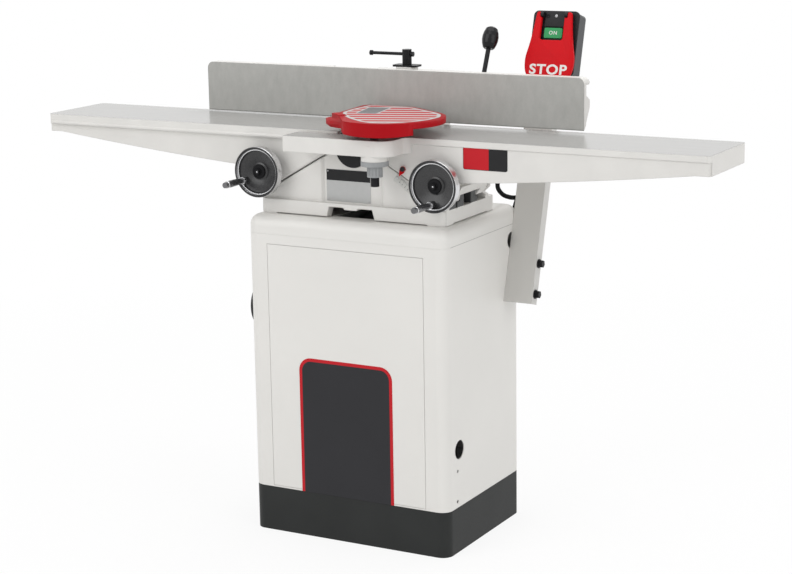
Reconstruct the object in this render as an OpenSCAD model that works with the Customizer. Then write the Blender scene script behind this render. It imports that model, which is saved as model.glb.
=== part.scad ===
// Floor-standing jointer: two tables on inclined ways, a cutterhead, a swing guard and a tilting fence,
// on a closed sheet-metal stand. X runs along the tables with the infeed table on +X, Y runs from the
// operator to the fence, Z is up, and the origin is on the floor under the middle of the stand.

/* [Stand] */
// Width of the stand along the tables
stand_w = 432; // [410:1:450]
// Depth of the stand from front to back
stand_d = 320; // [318:1:340]
// Height of the stand
stand_h = 634; // [620:1:640]
// Height of the plinth
plinth_h = 90; // [75:1:105]
// Radius of the stand's corners and of its rolled top edge
stand_r = 22; // [16:1:26]
// Thickness of the stand's sheet metal
sheet_t = 2; // [1.5:0.5:2.5]
// Height of the rolled top
cap_h = 36; // [32:1:42]
// Width of the front panel
panel_w = 340; // [310:1:350]
// Distance from the top of the stand down to the front panel
panel_drop = 55; // [50:1:65]

/* [Tables] */
// Overall length over both tables
table_len = 1422; // [1340:1:1500]
// Width of the tables
table_w = 183; // [181:1:190]
// Height of the outfeed table above the top of the stand
table_h = 166; // [162:1:170]
// Depth of cut that the infeed table is set to
cut_depth = 3; // [1:0.5:5]
// Thickness of the table plates
plate_t = 12; // [10:1:14]
// Depth of the band along a table's edge
lip_h = 20; // [18:1:24]
// Thickness of the aprons under a table
apron_t = 9; // [8:1:11]
// Depth of a table at its outer end
end_h = 36; // [34:1:42]
// Depth of a table's apron beside the ways
mid_h = 81; // [76:1:86]
// Radius of a table's outer corners
corner_r = 12; // [8:1:16]

/* [Base and cutterhead] */
// Half length of the base casting
base_half = 200; // [196:1:206]
// Height of the base casting's foot
foot_h = 28; // [24:1:30]
// Slope of the ways in degrees
way_angle = 30; // [29:0.5:31]
// Radius of the knife circle
knife_r = 33; // [32:0.5:34]
// Number of knives
knife_count = 3; // [2:1:4]
// Pitch radius of the cutterhead pulley
head_pulley_r = 24; // [22:1:25]
// Pitch radius of the motor pulley
motor_pulley_r = 35; // [32:1:36]

/* [Handwheels] */
// Radius of a handwheel
wheel_r = 49; // [46:1:52]
// Radius of a handwheel's shaft
shaft_r = 7; // [6:0.5:7.5]
// Length of a crank grip
grip_len = 66; // [58:1:74]
// Module of the raising racks and pinions
tooth_m = 1.5; // [1.4:0.1:1.5]

/* [Guard] */
// Radius of the guard's round part
guard_r = 102; // [92:1:104]
// Height of the guard's top above the infeed table
guard_h = 35; // [32:1:38]
// Depth of the guard's rim
guard_rim = 17; // [14:1:17]
// Radius of the guard's post
post_r = 8; // [7:0.5:9]

/* [Fence] */
// Length of the fence
fence_len = 833; // [760:1:860]
// Height of the fence
fence_h = 98; // [92:1:99]
// Thickness of the fence's face plate
fence_t = 10; // [9:1:11]
// Depth of the fence's back ribs
rib_d = 26; // [22:1:28]

/* [Switch] */
// Width of the switch arm
arm_w = 60; // [54:1:64]
// Length of the switch arm
arm_len = 560; // [545:1:575]
// Width of the switch box
box_w = 96; // [90:1:100]
// Height of the switch box
box_h = 127; // [122:1:132]
// Depth of the switch box
box_d = 33; // [30:1:38]

/* [Hidden] */
$fn = 64;

// Clearances: running fits, sliding gaps between pieces, and seats
run = 0.05;
gap = 0.3;
seat = 0.02;
cut = 1;

// Colours
white_paint = [0.87, 0.87, 0.85];
dark_paint = [0.2, 0.21, 0.21];
ground_iron = [0.72, 0.72, 0.7];
red_paint = [0.7, 0.08, 0.1];
black_part = [0.08, 0.08, 0.085];
grey_part = [0.42, 0.43, 0.44];
bright_steel = [0.8, 0.8, 0.82];
green_part = [0.1, 0.55, 0.28];

// Lines across the machine: table edges, aprons, base walls, cutterhead and belt
table_y0 = -130;
table_y1 = table_y0 + table_w;
apron_set = 8;
infeed_face = 6;
apron_y0 = table_y0 + apron_set;
apron_y1 = table_y1 - apron_set;
wall_t = 12;
wall_back = table_y1;
drum_y0 = table_y0 + 22;
drum_y1 = table_y1 - 9;
belt_y = table_y1 + 23;
belt_w = 10;
groove_d = 4;

// Ways: the two planes meet at an apex over the cutterhead
table_z = stand_h + table_h;
cut_z = table_z - knife_r;
apex_z = table_z - 12.3;
half_len = (table_len - cut_depth / tan(way_angle)) / 2;
infeed_shift = cut_depth / sin(way_angle);
throat_x = 24;
hump_x = 44;
way_lip = 1.7;
slide_s0 = 46;
slide_s1 = 222;
slide_t = 34;
shaft_s = 197.7;
shaft_n = 32.5;
rail_y = table_y0 + 95;
rail_half = 30;
rail_h = 14;
rail_flare = 8;
gib_t = 8;
way_play = 0.4;
gib_seat = 0.1;
gib_screw_r = 4;
gib_screw_s = [90, 140, 190];
function way_z(x) = apex_z - abs(x) * tan(way_angle);
function way_point(s, n) = [
    s * cos(way_angle) + n * sin(way_angle),
    apex_z - s * sin(way_angle) + n * cos(way_angle)
];

// Raising gear: a pinion on each handwheel shaft rolls along a rack on the base
pinion_teeth = 14;
pinion_r = pinion_teeth * tooth_m / 2;
tooth_pitch = PI * tooth_m;
pressure = 20;
backlash = 0.2;
travel = 25.4;
rise = 2;
rack_y0 = table_y0 + 31;
rack_w = 12;
rack_s0 = shaft_s - 9;
rack_s1 = shaft_s + travel + 6;
rack_pitch_n = shaft_n - pinion_r;
pocket_play = 2;

// Handwheels
wheel_y = apron_y0 - 20;
wheel_depth = 22;
rim_w = 5;
stud_r = 4;
stud_orbit = 33.5;
hub_r = 13;
grip_r = 6.5;
grip_z0 = 21;
outfeed_stud_angle = 211;
infeed_stud_angle = 264;

// Ledge and guard, with the infeed table level with the outfeed table
pivot = [73.5, -172];
ledge_h = 30;
ledge_x0 = -110;
ledge_y0 = pivot[1] - 25;
ledge_end_r = 30;
boss_r = 25.5;
boss_drop = 10;
guard_c = [79, -117];
guard_back = 22;
guard_wall = 4;
guard_top = table_z + guard_h;
tangent_a = 57;
edge_a = [-53, 10];
edge_b = [-42, -111];
edge_c = [20, -196];

// Fence, carriage and bridge
fence_y = table_y1 - 11.5;
fence_z = table_z + 1.8;
fence_x0 = -429;
fence_cx = -25.5;
deck_half = 86;
deck_y0 = fence_y + 94;
deck_y1 = deck_y0 + 84;
deck_top = fence_z + 66;
deck_t = 14;
tee_y = fence_y + 108;
tee_slot = 12;
arm_t = 10;
arm_x = deck_half + gap;
ear_x = arm_x + arm_t + 0.5;
ear_t = 10;
ear_r0 = 50;
ear_r1 = 86;
tilt_bolt_r = 5;
tilt_orbit = 68;
tilt_bolt_a = 12;
tilt_back = 45;
tilt_fwd = 15;
carriage_t = 14;
carriage_top = deck_top + gap + carriage_t;
washer_t = 3.5;
lever_x = 171.5;
lever_lean = 24;
lever_r = 4.5;
lever_foot = [fence_y + fence_t + 12, fence_z + 20];
lever_len = 128;
knob_r = 16;
knob_h = 42;

// Stand interior: motor, belt and chip chute
motor_r = 80;
motor_y0 = -112;
motor_y1 = 40;
motor_shaft_r = 8;
shelf_z = plinth_h + 60;
motor_z = shelf_z + 2 * sheet_t + motor_r + 6;
chute_half = 46;
port_z = stand_h - 206;
port_y = -30;
port_r = 50;
port_len = 45;
belt_half = motor_pulley_r + 9;

// Switch arm and switch, in a frame that leans back with the arm
lean = 16;
arm_foot = [stand_w / 2, 85.2, stand_h - 182.4];
arm_flange = 24;
arm_sheet = 3;
bolt_up = [20, 80];
box_x = 11;
box_z0 = arm_len + 7 - box_h;
bezel_t = 3;
paddle_t = 7;
paddle_gap = 6;
button_size = [38, 20];
button_x = box_x + 46.5;
button_z = box_z0 + 83;
paddle_pin_z = box_z0 + box_h - 9;

// Lead from the switch to the stand: points along its middle, the first ones in the arm's frame
lead_r = 4.5;
lead_x = 30;
lead_exit_z = 500;
lead_drop = [
    [lead_x, -8, lead_exit_z], [lead_x, 2.6, lead_exit_z], [lead_x, 10, 499.5], [lead_x, 17, 496],
    [lead_x, 21, 489], [lead_x, 22.5, 479], [lead_x, 20.5, 464], [lead_x, 16.5, 446],
    [lead_x, 13.5, 428], [lead_x, 12, 400], [lead_x, 12, 370], [lead_x, 12, 340],
    [lead_x, 12, 310], [lead_x, 12, 280], [lead_x, 12, 250], [lead_x, 15, 222]
];
lead_loop = [
    [242, 168, 651], [233, 175, 645], [220, 177, 642], [204, 177, 641], [186, 175, 641],
    [170, 173, 648], [162, 172, 664], [170, 172, 680], [187, 176, 687], [202, 182, 678],
    [207, 186, 661], [200, 188, 644], [192, 188, 620], [186, 186, 594], [184, 180, 574],
    [183, 170, 563], [183, 160, 560], [183, 148, 560]
];
function arm_point(p) = [
    arm_foot[0] + p[0],
    arm_foot[1] + p[1] * cos(lean) + p[2] * sin(lean),
    arm_foot[2] - p[1] * sin(lean) + p[2] * cos(lean)
];
lead_points = concat([for (p = lead_drop) arm_point(p)], lead_loop);

// Flat shapes
module rounded(w, d, r) {
    square([w - 2 * r, d], center = true);
    square([w, d - 2 * r], center = true);
    for (x = [-1, 1], y = [-1, 1])
        translate([x * (w / 2 - r), y * (d / 2 - r)])
            circle(r);
}

// Outline of a belt at a distance from the pulleys' pitch line
module belt_outline(off) {
    r1 = head_pulley_r + off;
    r2 = motor_pulley_r + off;
    a = asin((r2 - r1) / (cut_z - motor_z));
    translate([0, cut_z])
        circle(r1);
    translate([0, motor_z])
        circle(r2);
    polygon([
        [r1 * cos(a), cut_z + r1 * sin(a)], [-r1 * cos(a), cut_z + r1 * sin(a)],
        [-r2 * cos(a), motor_z + r2 * sin(a)], [r2 * cos(a), motor_z + r2 * sin(a)]
    ]);
}

// A flat shape in X and Z drawn out along Y, and one in Y and Z drawn out along X
module xz_prism(y0, y1) {
    translate([0, y1, 0])
        rotate([90, 0, 0])
            linear_extrude(y1 - y0)
                children();
}

module yz_prism(x0, x1) {
    translate([x0, 0, 0])
        rotate([90, 0, 90])
            linear_extrude(x1 - x0)
                children();
}

// A cylinder along Y
module y_rod(r, y0, y1) {
    translate([0, y1, 0])
        rotate([90, 0, 0])
            cylinder(r = r, h = y1 - y0);
}

// A cylinder along X
module x_rod(r, x0, x1) {
    translate([x0, 0, 0])
        rotate([0, 90, 0])
            cylinder(r = r, h = x1 - x0);
}

// A flat shape in X and Y drawn up from a height
module raised(z, h) {
    translate([0, 0, z])
        linear_extrude(h)
            children();
}

// Box with round upright corners and a rolled top edge of the same radius
module rolled_box(w, d, h, r) {
    intersection() {
        translate([-w / 2, -d / 2, 0])
            cube([w, d, h]);
        union() {
            linear_extrude(h - r)
                rounded(w, d, r);
            translate([-w / 2 + r, -d / 2 + r, 0])
                cube([w - 2 * r, d - 2 * r, h]);
            for (y = [-1, 1])
                translate([0, y * (d / 2 - r), h - r])
                    x_rod(r, -w / 2 + r, w / 2 - r);
            for (x = [-1, 1])
                translate([x * (w / 2 - r), 0, h - r])
                    y_rod(r, -d / 2 + r, d / 2 - r);
            for (x = [-1, 1], y = [-1, 1])
                translate([x * (w / 2 - r), y * (d / 2 - r), h - r])
                    sphere(r);
        }
    }
}

// Places children in the frame of one way: x down the slope, z square to it
module way_frame(side) {
    mirror([side < 0 ? 1 : 0, 0, 0])
        translate([0, 0, apex_z])
            rotate([0, way_angle, 0])
                children();
}

// Puts what belongs to the infeed table at its depth of cut
module at_depth() {
    translate([infeed_shift * cos(way_angle), 0, -infeed_shift * sin(way_angle)])
        children();
}

// Mirrors what belongs to the outfeed table
module outfeed_side() {
    mirror([1, 0, 0])
        children();
}

// Stand

module plinth() {
    toe = 12;
    color(dark_paint)
        difference() {
            linear_extrude(plinth_h)
                rounded(stand_w, stand_d, stand_r);
            raised(sheet_t * 2, plinth_h)
                rounded(stand_w - 4 * sheet_t, stand_d - 4 * sheet_t, stand_r - 2 * sheet_t);
            raised(-cut, plinth_h)
                rounded(stand_w - 8 * toe, stand_d - 8 * toe, stand_r);
            for (x = [-1, 1], y = [-1, 1])
                translate([x * (stand_w / 2 - 2 * toe), y * (stand_d / 2 - 2 * toe), -cut])
                    cylinder(r = 5.5, h = 4 * sheet_t + 2 * cut);
        }
}

cab_z1 = stand_h - cap_h;
panel_z0 = plinth_h + 3;
panel_z1 = stand_h - panel_drop;
side_hole = [-108, plinth_h + 113];
side_hole_r = 18.5;
lead_hole = [120, stand_h - 67];
lead_end = lead_loop[len(lead_loop) - 1];
lead_fit = 0.25;

module cabinet() {
    color(white_paint)
        difference() {
            union() {
                translate([0, 0, plinth_h])
                    linear_extrude(cab_z1 - plinth_h)
                        difference() {
                            rounded(stand_w, stand_d, stand_r);
                            rounded(stand_w - 2 * sheet_t, stand_d - 2 * sheet_t, stand_r - sheet_t);
                        }
                panel_seat();
                rear_seat();
            }
            xz_prism(-stand_d / 2 - cut, -stand_d / 2 + sheet_t)
                translate([-panel_w / 2, panel_z0])
                    square([panel_w, panel_z1 - panel_z0]);
            cabinet_holes();
        }
}

seat_w = 16;

// Return flanges behind the front panel
module panel_seat() {
    xz_prism(-stand_d / 2 + sheet_t, -stand_d / 2 + 2 * sheet_t)
        difference() {
            translate([-panel_w / 2 - seat_w, plinth_h])
                square([panel_w + 2 * seat_w, panel_z1 - plinth_h + seat_w]);
            translate([-panel_w / 2 + seat_w, panel_z0 + seat_w])
                square([panel_w - 2 * seat_w, panel_z1 - panel_z0 - 2 * seat_w]);
        }
}

rear_cover_size = [300, 260];
rear_cover_z = stand_h - 304;

// Flange round the service opening in the back
module rear_seat() {
    xz_prism(stand_d / 2 - 2 * sheet_t, stand_d / 2 - sheet_t)
        translate([0, rear_cover_z])
            difference() {
                square(rear_cover_size, center = true);
                square(rear_cover_size - [2 * seat_w, 2 * seat_w], center = true);
            }
}

module cabinet_holes() {
    small = [[-116, plinth_h + 72], [-117, plinth_h + 12]];
    for (hole = [[side_hole, side_hole_r], [lead_hole, 16], [small[0], 3.5], [small[1], 3.5]])
        translate([0, hole[0][0], hole[0][1]])
            x_rod(hole[1], stand_w / 2 - 3 * sheet_t, stand_w / 2 + cut);
    for (z = bolt_up)
        arm_frame()
            translate([0, arm_flange / 2, z])
                x_rod(4.2, -30, cut);
    translate([0, port_y, port_z])
        x_rod(port_r - 1, -stand_w / 2 - cut, -stand_w / 2 + 3 * sheet_t);
    xz_prism(stand_d / 2 - 3 * sheet_t, stand_d / 2 + cut)
        translate([0, rear_cover_z])
            square(rear_cover_size - [2 * seat_w, 2 * seat_w], center = true);
    translate([lead_end[0], 0, lead_end[2]])
        y_rod(lead_r + lead_fit, stand_d / 2 - 3 * sheet_t, stand_d / 2 + cut);
}

module front_panel() {
    seam = 0.6;
    color(white_paint)
        xz_prism(-stand_d / 2, -stand_d / 2 + sheet_t)
            translate([-panel_w / 2 + seam, panel_z0 + seam])
                square([panel_w - 2 * seam, panel_z1 - panel_z0 - 2 * seam]);
}

base_bolt_at = [base_half - 40, apron_y0 + 6, table_y1 + 16];
pad_y1 = stand_d / 2 - 4;
pad_half = 85;

module stand_top() {
    chip_y0 = drum_y0 - 2;
    chip_y1 = drum_y1 + 4;
    color(white_paint)
        difference() {
            translate([0, 0, cab_z1])
                rolled_box(stand_w, stand_d, cap_h, stand_r);
            translate([0, 0, cab_z1 - cut])
                rolled_box(stand_w - 2 * sheet_t, stand_d - 2 * sheet_t, cap_h + cut - sheet_t,
                    stand_r - sheet_t);
            translate([-chute_half + 2, chip_y0, stand_h - cap_h])
                cube([2 * chute_half - 4, chip_y1 - chip_y0, 2 * cap_h]);
            translate([-belt_half, belt_y - belt_w, stand_h - cap_h])
                cube([2 * belt_half, 2 * belt_w, 2 * cap_h]);
            base_bolt_places()
                translate([0, 0, stand_h - cap_h])
                    cylinder(r = 5.5, h = 2 * cap_h);
        }
}

module base_bolt_places() {
    for (x = [-1, 1], y = [base_bolt_at[1], base_bolt_at[2]])
        translate([x * base_bolt_at[0], y, 0])
            children();
}

module base_bolts() {
    head_h = 7;
    color(black_part)
        base_bolt_places()
            translate([0, 0, stand_h - sheet_t - head_h]) {
                cylinder(r = 9, h = head_h, $fn = 6);
                cylinder(r = 5, h = head_h + sheet_t + foot_h - 6);
            }
}

module rear_cover() {
    slots = 6;
    color(white_paint)
        difference() {
            xz_prism(stand_d / 2, stand_d / 2 + sheet_t)
                translate([0, rear_cover_z])
                    rounded(rear_cover_size[0] - 8, rear_cover_size[1] - 8, 8);
            for (i = [0 : slots - 1], x = [-70, 70])
                translate([x, 0, rear_cover_z - 50 + i * 20])
                    xz_prism(stand_d / 2 - cut, stand_d / 2 + sheet_t + cut)
                        rounded(90, 8, 3.9);
        }
}

// Chip chute from the base down to the port in the left side
module chip_chute() {
    top_z = stand_h - sheet_t;
    end_x = -stand_w / 2 + sheet_t;
    y0 = drum_y0 - 4;
    y1 = drum_y1 + 6;
    low = port_z - port_r - 8;
    high = port_z + port_r + 8;
    color(grey_part)
        difference() {
            xz_prism(y0, y1)
                polygon([[chute_half, top_z], [-chute_half, top_z], [end_x, high], [end_x, low]]);
            xz_prism(y0 + sheet_t, y1 - sheet_t)
                polygon([
                    [chute_half - sheet_t, top_z + cut], [-chute_half + sheet_t, top_z + cut],
                    [-chute_half + sheet_t, top_z - sheet_t], [end_x + sheet_t, high - sheet_t],
                    [end_x + sheet_t, low + 3 * sheet_t], [chute_half - sheet_t, top_z - 3 * sheet_t]
                ]);
            translate([0, port_y, port_z])
                x_rod(port_r - 2, end_x - cut, end_x + 3 * sheet_t);
        }
}

module dust_port() {
    flange = 3;
    x0 = -stand_w / 2 - flange;
    color(black_part)
        difference() {
            union() {
                yz_prism(x0, -stand_w / 2)
                    translate([port_y, port_z])
                        rounded(2 * port_r + 26, 2 * port_r + 26, 10);
                translate([0, port_y, port_z])
                    x_rod(port_r, x0 - port_len, x0);
            }
            translate([0, port_y, port_z])
                x_rod(port_r - 2.5, x0 - port_len - cut, -stand_w / 2 + cut);
            for (y = [-1, 1], z = [-1, 1])
                translate([0, port_y + y * (port_r + 4), port_z + z * (port_r + 4)])
                    x_rod(2.5, x0 - cut, -stand_w / 2 + cut);
        }
}

module motor_shelf() {
    half = stand_w / 2 - sheet_t;
    lip = 34;
    color(grey_part)
        difference() {
            union() {
                translate([-half, motor_y0 - 10, shelf_z])
                    cube([2 * half, motor_y1 - motor_y0 + 20, 2 * sheet_t]);
                for (x = [-half, half - 2 * sheet_t])
                    translate([x, motor_y0 - 10, shelf_z])
                        cube([2 * sheet_t, motor_y1 - motor_y0 + 20, lip]);
            }
            for (x = [-52, 52], y = [motor_y0 + 30, motor_y1 - 30])
                translate([x, y, shelf_z - cut])
                    cylinder(r = 5, h = 2 * sheet_t + 2 * cut);
        }
}

module motor_body() {
    foot_z = shelf_z + 2 * sheet_t;
    fins = 20;
    color(black_part)
        difference() {
            union() {
                translate([0, 0, motor_z])
                    y_rod(motor_r - 5, motor_y0, motor_y1);
                for (i = [0 : fins - 1])
                    translate([0, 0, motor_z])
                        rotate([0, i * 360 / fins, 0])
                            translate([-1.5, motor_y0 + 14, 0])
                                cube([3, motor_y1 - motor_y0 - 28, motor_r]);
                translate([0, 0, motor_z])
                    y_rod(motor_r, motor_y1 - 12, motor_y1);
                for (x = [-1, 1])
                    translate([x * 52 - 16, motor_y0 + 14, foot_z])
                        cube([32, motor_y1 - motor_y0 - 28, 40]);
            }
            translate([0, 0, motor_z])
                y_rod(motor_shaft_r + run, motor_y1 - 70, motor_y1 + cut);
        }
}

// Belt drive

module pulley(pitch_r, bore_r) {
    rim = pitch_r + 4;
    floor_r = pitch_r - groove_d;
    half = belt_w / 2 + 4;
    throat = belt_w / 2 + 1;
    rotate([90, 0, 0])
        rotate_extrude()
            polygon([
                [bore_r, -half], [rim, -half], [rim, -throat - 1], [floor_r, -throat + 0.2],
                [floor_r, throat - 0.2], [rim, throat + 1], [rim, half], [bore_r, half]
            ]);
}

module drive_belt() {
    color(black_part)
        xz_prism(belt_y - belt_w / 2, belt_y + belt_w / 2)
            difference() {
                belt_outline(3);
                belt_outline(gap - groove_d);
            }
}

module head_pulley() {
    color(grey_part)
        translate([0, belt_y, cut_z])
            pulley(head_pulley_r, journal_r + seat);
}

module motor_pulley() {
    color(grey_part)
        translate([0, belt_y, motor_z])
            pulley(motor_pulley_r, motor_shaft_r + seat);
}

module motor_shaft() {
    color(bright_steel)
        translate([0, 0, motor_z])
            y_rod(motor_shaft_r, motor_y1 - 60, belt_y + belt_w);
}

// Sheet cover over the belt behind the base
module belt_cover() {
    wall = 1.5;
    y0 = wall_back + 10.5;
    y1 = belt_y + belt_w + 8;
    top = cut_z + head_pulley_r + 8;
    color(black_part)
        difference() {
            translate([-belt_half, y0, stand_h])
                cube([2 * belt_half, y1 - y0, top - stand_h]);
            translate([-belt_half + wall, y0 - cut, stand_h - cut])
                cube([2 * belt_half - 2 * wall, y1 - y0 - wall + cut, top - stand_h - wall + cut]);
        }
}

// Base casting

foot_y1 = table_y1 + 30;
block_r = 36;
saddle_half = 46;
saddle_y1 = wall_back + 9;

module wall_outline() {
    polygon([
        [-base_half, stand_h], [base_half, stand_h], [base_half, way_z(base_half) - 2 * way_lip],
        [hump_x, way_z(hump_x) - 2 * way_lip], [-hump_x, way_z(hump_x) - 2 * way_lip],
        [-base_half, way_z(base_half) - 2 * way_lip]
    ]);
}

module rail_outline(grow_front, grow_back, top) {
    polygon([
        [rail_y - rail_half - grow_front, 0], [rail_y + rail_half + grow_back, 0],
        [rail_y + rail_half + rail_flare * top / rail_h + grow_back, top],
        [rail_y - rail_half - rail_flare * top / rail_h - grow_front, top]
    ]);
}

// Gaps between the ways: beside the rack, along the dovetail and behind it
way_gaps = [
    [rack_y0 + rack_w + 4, rail_y - rail_half - rail_flare - 3],
    [rail_y - rail_half / 2, rail_y + rail_half / 2],
    [rail_y + rail_half + rail_flare + 3, wall_back]
];

// Deck and dovetail of the ways on one side
module way_deck() {
    deck_t0 = 14;
    difference() {
        union() {
            translate([slide_s0 + 4, apron_y0 + wall_t - 1, -deck_t0])
                cube([300, wall_back - apron_y0 - 2 * wall_t + 2, deck_t0]);
            yz_prism(slide_s0 + 14, 300)
                rail_outline(0, 0, rail_h);
        }
        for (y = way_gaps)
            translate([slide_s0 + 34, y[0], -2 * deck_t0])
                cube([300, y[1] - y[0], 4 * deck_t0]);
    }
}

module base_casting() {
    color(white_paint)
        difference() {
            union() {
                difference() {
                    translate([0, (table_y0 + foot_y1) / 2, stand_h])
                        linear_extrude(foot_h)
                            rounded(2 * base_half, foot_y1 - table_y0, 14);
                    way_clear();
                }
                translate([fence_cx - pad_half, foot_y1 - 15, stand_h])
                    cube([2 * pad_half, pad_y1 - foot_y1 + 15, foot_h]);
                xz_prism(apron_y0, apron_y0 + wall_t)
                    wall_outline();
                xz_prism(wall_back - wall_t, wall_back)
                    wall_outline();
                intersection() {
                    translate([-base_half, apron_y0, stand_h])
                        cube([2 * base_half, wall_back - apron_y0, table_z - stand_h]);
                    for (side = [-1, 1])
                        way_frame(side)
                            way_deck();
                }
                translate([-saddle_half, wall_back - 6, stand_h])
                    cube([2 * saddle_half, saddle_y1 - wall_back + 6, way_z(saddle_half) - stand_h]);
            }
            translate([-base_half + 30, apron_y0 + wall_t, stand_h - cut])
                cube([2 * base_half - 60, wall_back - apron_y0 - 2 * wall_t, foot_h + 2 * cut]);
            translate([0, 0, cut_z])
                y_rod(block_r + gap, apron_y0 - cut, drum_y0 - 2);
            translate([0, 0, cut_z])
                y_rod(knife_r + 3, drum_y0 - 3, drum_y1 + 2);
            translate([0, 0, cut_z])
                y_rod(block_r + gap, drum_y1 + 1, saddle_y1 + cut);
            translate([-belt_half - gap, saddle_y1 + 1, stand_h - cut])
                cube([2 * belt_half + 2 * gap, belt_y + belt_w + 10 - saddle_y1, foot_h + 2 * cut]);
            bay_cut();
            arch_cut();
            foot_relief();
            base_bolt_places()
                translate([0, 0, stand_h - cut])
                    cylinder(r = 5.2, h = foot_h - 4 + cut);
        }
}

// Shallow bay in the middle of the base's front
module bay_cut() {
    bay_half = 62;
    depth = 5;
    translate([0, 0, stand_h + foot_h])
        linear_extrude(table_z)
            polygon([
                [-bay_half - depth, apron_y0 - cut], [bay_half + depth, apron_y0 - cut],
                [bay_half + depth, apron_y0], [bay_half, apron_y0 + depth],
                [-bay_half, apron_y0 + depth], [-bay_half - depth, apron_y0]
            ]);
}

// Shallow gaps under the foot between its corner pads
module foot_relief() {
    pad = 36;
    deep = 12;
    high = 2;
    translate([-base_half + pad, table_y0 - cut, stand_h - cut])
        cube([2 * base_half - 2 * pad, deep + cut, high + cut]);
    for (x = [-base_half - cut, base_half - deep])
        translate([x, table_y0 + pad, stand_h - cut])
            cube([deep + cut, foot_y1 - table_y0 - 2 * pad, high + cut]);
}

// Room over the low ends of the ways for the tables' slides
module way_clear() {
    for (side = [-1, 1])
        way_frame(side)
            translate([slide_s0, apron_y0 - cut, -2 * way_lip])
                cube([300, wall_back - apron_y0 + 2 * cut, 3 * slide_t]);
}

// Arch in the front of the foot, with a tab in the middle of its top edge
module arch_cut() {
    arch_h = 21;
    tab_h = 4;
    xz_prism(table_y0 - cut, apron_y0 + wall_t + cut)
        translate([0, stand_h])
            polygon([
                [-53, -cut], [53, -cut], [47, arch_h], [16, arch_h], [13, arch_h - tab_h],
                [-13, arch_h - tab_h], [-16, arch_h], [-47, arch_h]
            ]);
}

journal_r = 12;

// Round block that carries a cutterhead bearing, cut off flat below the table
module bearing_block(y0, y1) {
    difference() {
        translate([0, 0, cut_z])
            y_rod(block_r, y0, y1);
        translate([0, 0, cut_z])
            y_rod(journal_r + run, y0 - cut, y1 + cut);
        translate([-block_r - cut, y0 - cut, cut_z + 18])
            cube([2 * block_r + 2 * cut, y1 - y0 + 2 * cut, block_r]);
    }
}

module front_bearing() {
    color(black_part)
        bearing_block(apron_y0 + 3, drum_y0 - 3);
}

module rear_bearing() {
    color(black_part)
        bearing_block(drum_y1 + 2.5, saddle_y1);
}

// Cutterhead

knife_t = 3;
knife_gib_t = 6;
knife_deep = 16;
drum_r = knife_r - 1.5;

module around_drum() {
    for (i = [0 : knife_count - 1])
        translate([0, 0, cut_z])
            rotate([0, i * 360 / knife_count, 0])
                children();
}

module cutter_drum() {
    color(bright_steel)
        difference() {
            union() {
                translate([0, 0, cut_z])
                    y_rod(drum_r, drum_y0, drum_y1);
                translate([0, 0, cut_z])
                    y_rod(journal_r, apron_y0 + 4, belt_y + belt_w);
            }
            around_drum()
                translate([-knife_t - seat, drum_y0 - cut, drum_r - knife_deep])
                    cube([knife_t + knife_gib_t + 2 * seat, drum_y1 - drum_y0 + 2 * cut, knife_deep + cut]);
        }
}

module knives() {
    bevel = 2;
    color(bright_steel)
        around_drum()
            xz_prism(drum_y0, drum_y1)
                polygon([
                    [-knife_t, drum_r - knife_deep + 2], [0, drum_r - knife_deep + 2],
                    [0, knife_r - bevel], [-knife_t, knife_r]
                ]);
}

module knife_gibs() {
    color(grey_part)
        around_drum()
            xz_prism(drum_y0 + 1, drum_y1 - 1)
                polygon([
                    [seat, drum_r - knife_deep + 2], [knife_gib_t, drum_r - knife_deep + 2],
                    [knife_gib_t, drum_r - 4], [4, drum_r - 2], [seat, drum_r - 4]
                ]);
}

// Tables

apron_x0 = 202;
end_flat = 28;
apron_steps = 10;
apron_bow = 0.3;

// Height of an apron's curved lower edge
function apron_z(t) = table_z - mid_h + (mid_h - end_h) * (t + apron_bow * t * (t - 1));

module apron_outline() {
    x1 = half_len - end_flat;
    polygon(concat(
        [[throat_x, table_z - cut], [half_len - 2, table_z - cut], [half_len - 2, table_z - end_h]],
        [for (i = [apron_steps : -1 : 0]) let (t = i / apron_steps)
            [apron_x0 + (x1 - apron_x0) * t, apron_z(t)]],
        [way_point(slide_s1 + 4, 16), way_point(slide_s1, way_lip), way_point(slide_s0, way_lip),
            [throat_x, way_point(slide_s0, way_lip)[1] + 10]]
    ));
}

// Section across a table: plate, edge bands and beads
module table_section(bands) {
    bead_r = 4;
    band = 10;
    translate([table_y0, table_z - plate_t])
        square([table_w, plate_t]);
    if (bands) {
        for (y = [table_y0, table_y1 - band])
            translate([y, table_z - lip_h])
                square([band, lip_h]);
        for (y = [table_y0 + bead_r - 1.5, table_y1 - bead_r + 1.5])
            translate([y, table_z - lip_h + bead_r])
                circle(bead_r);
    }
}

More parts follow.
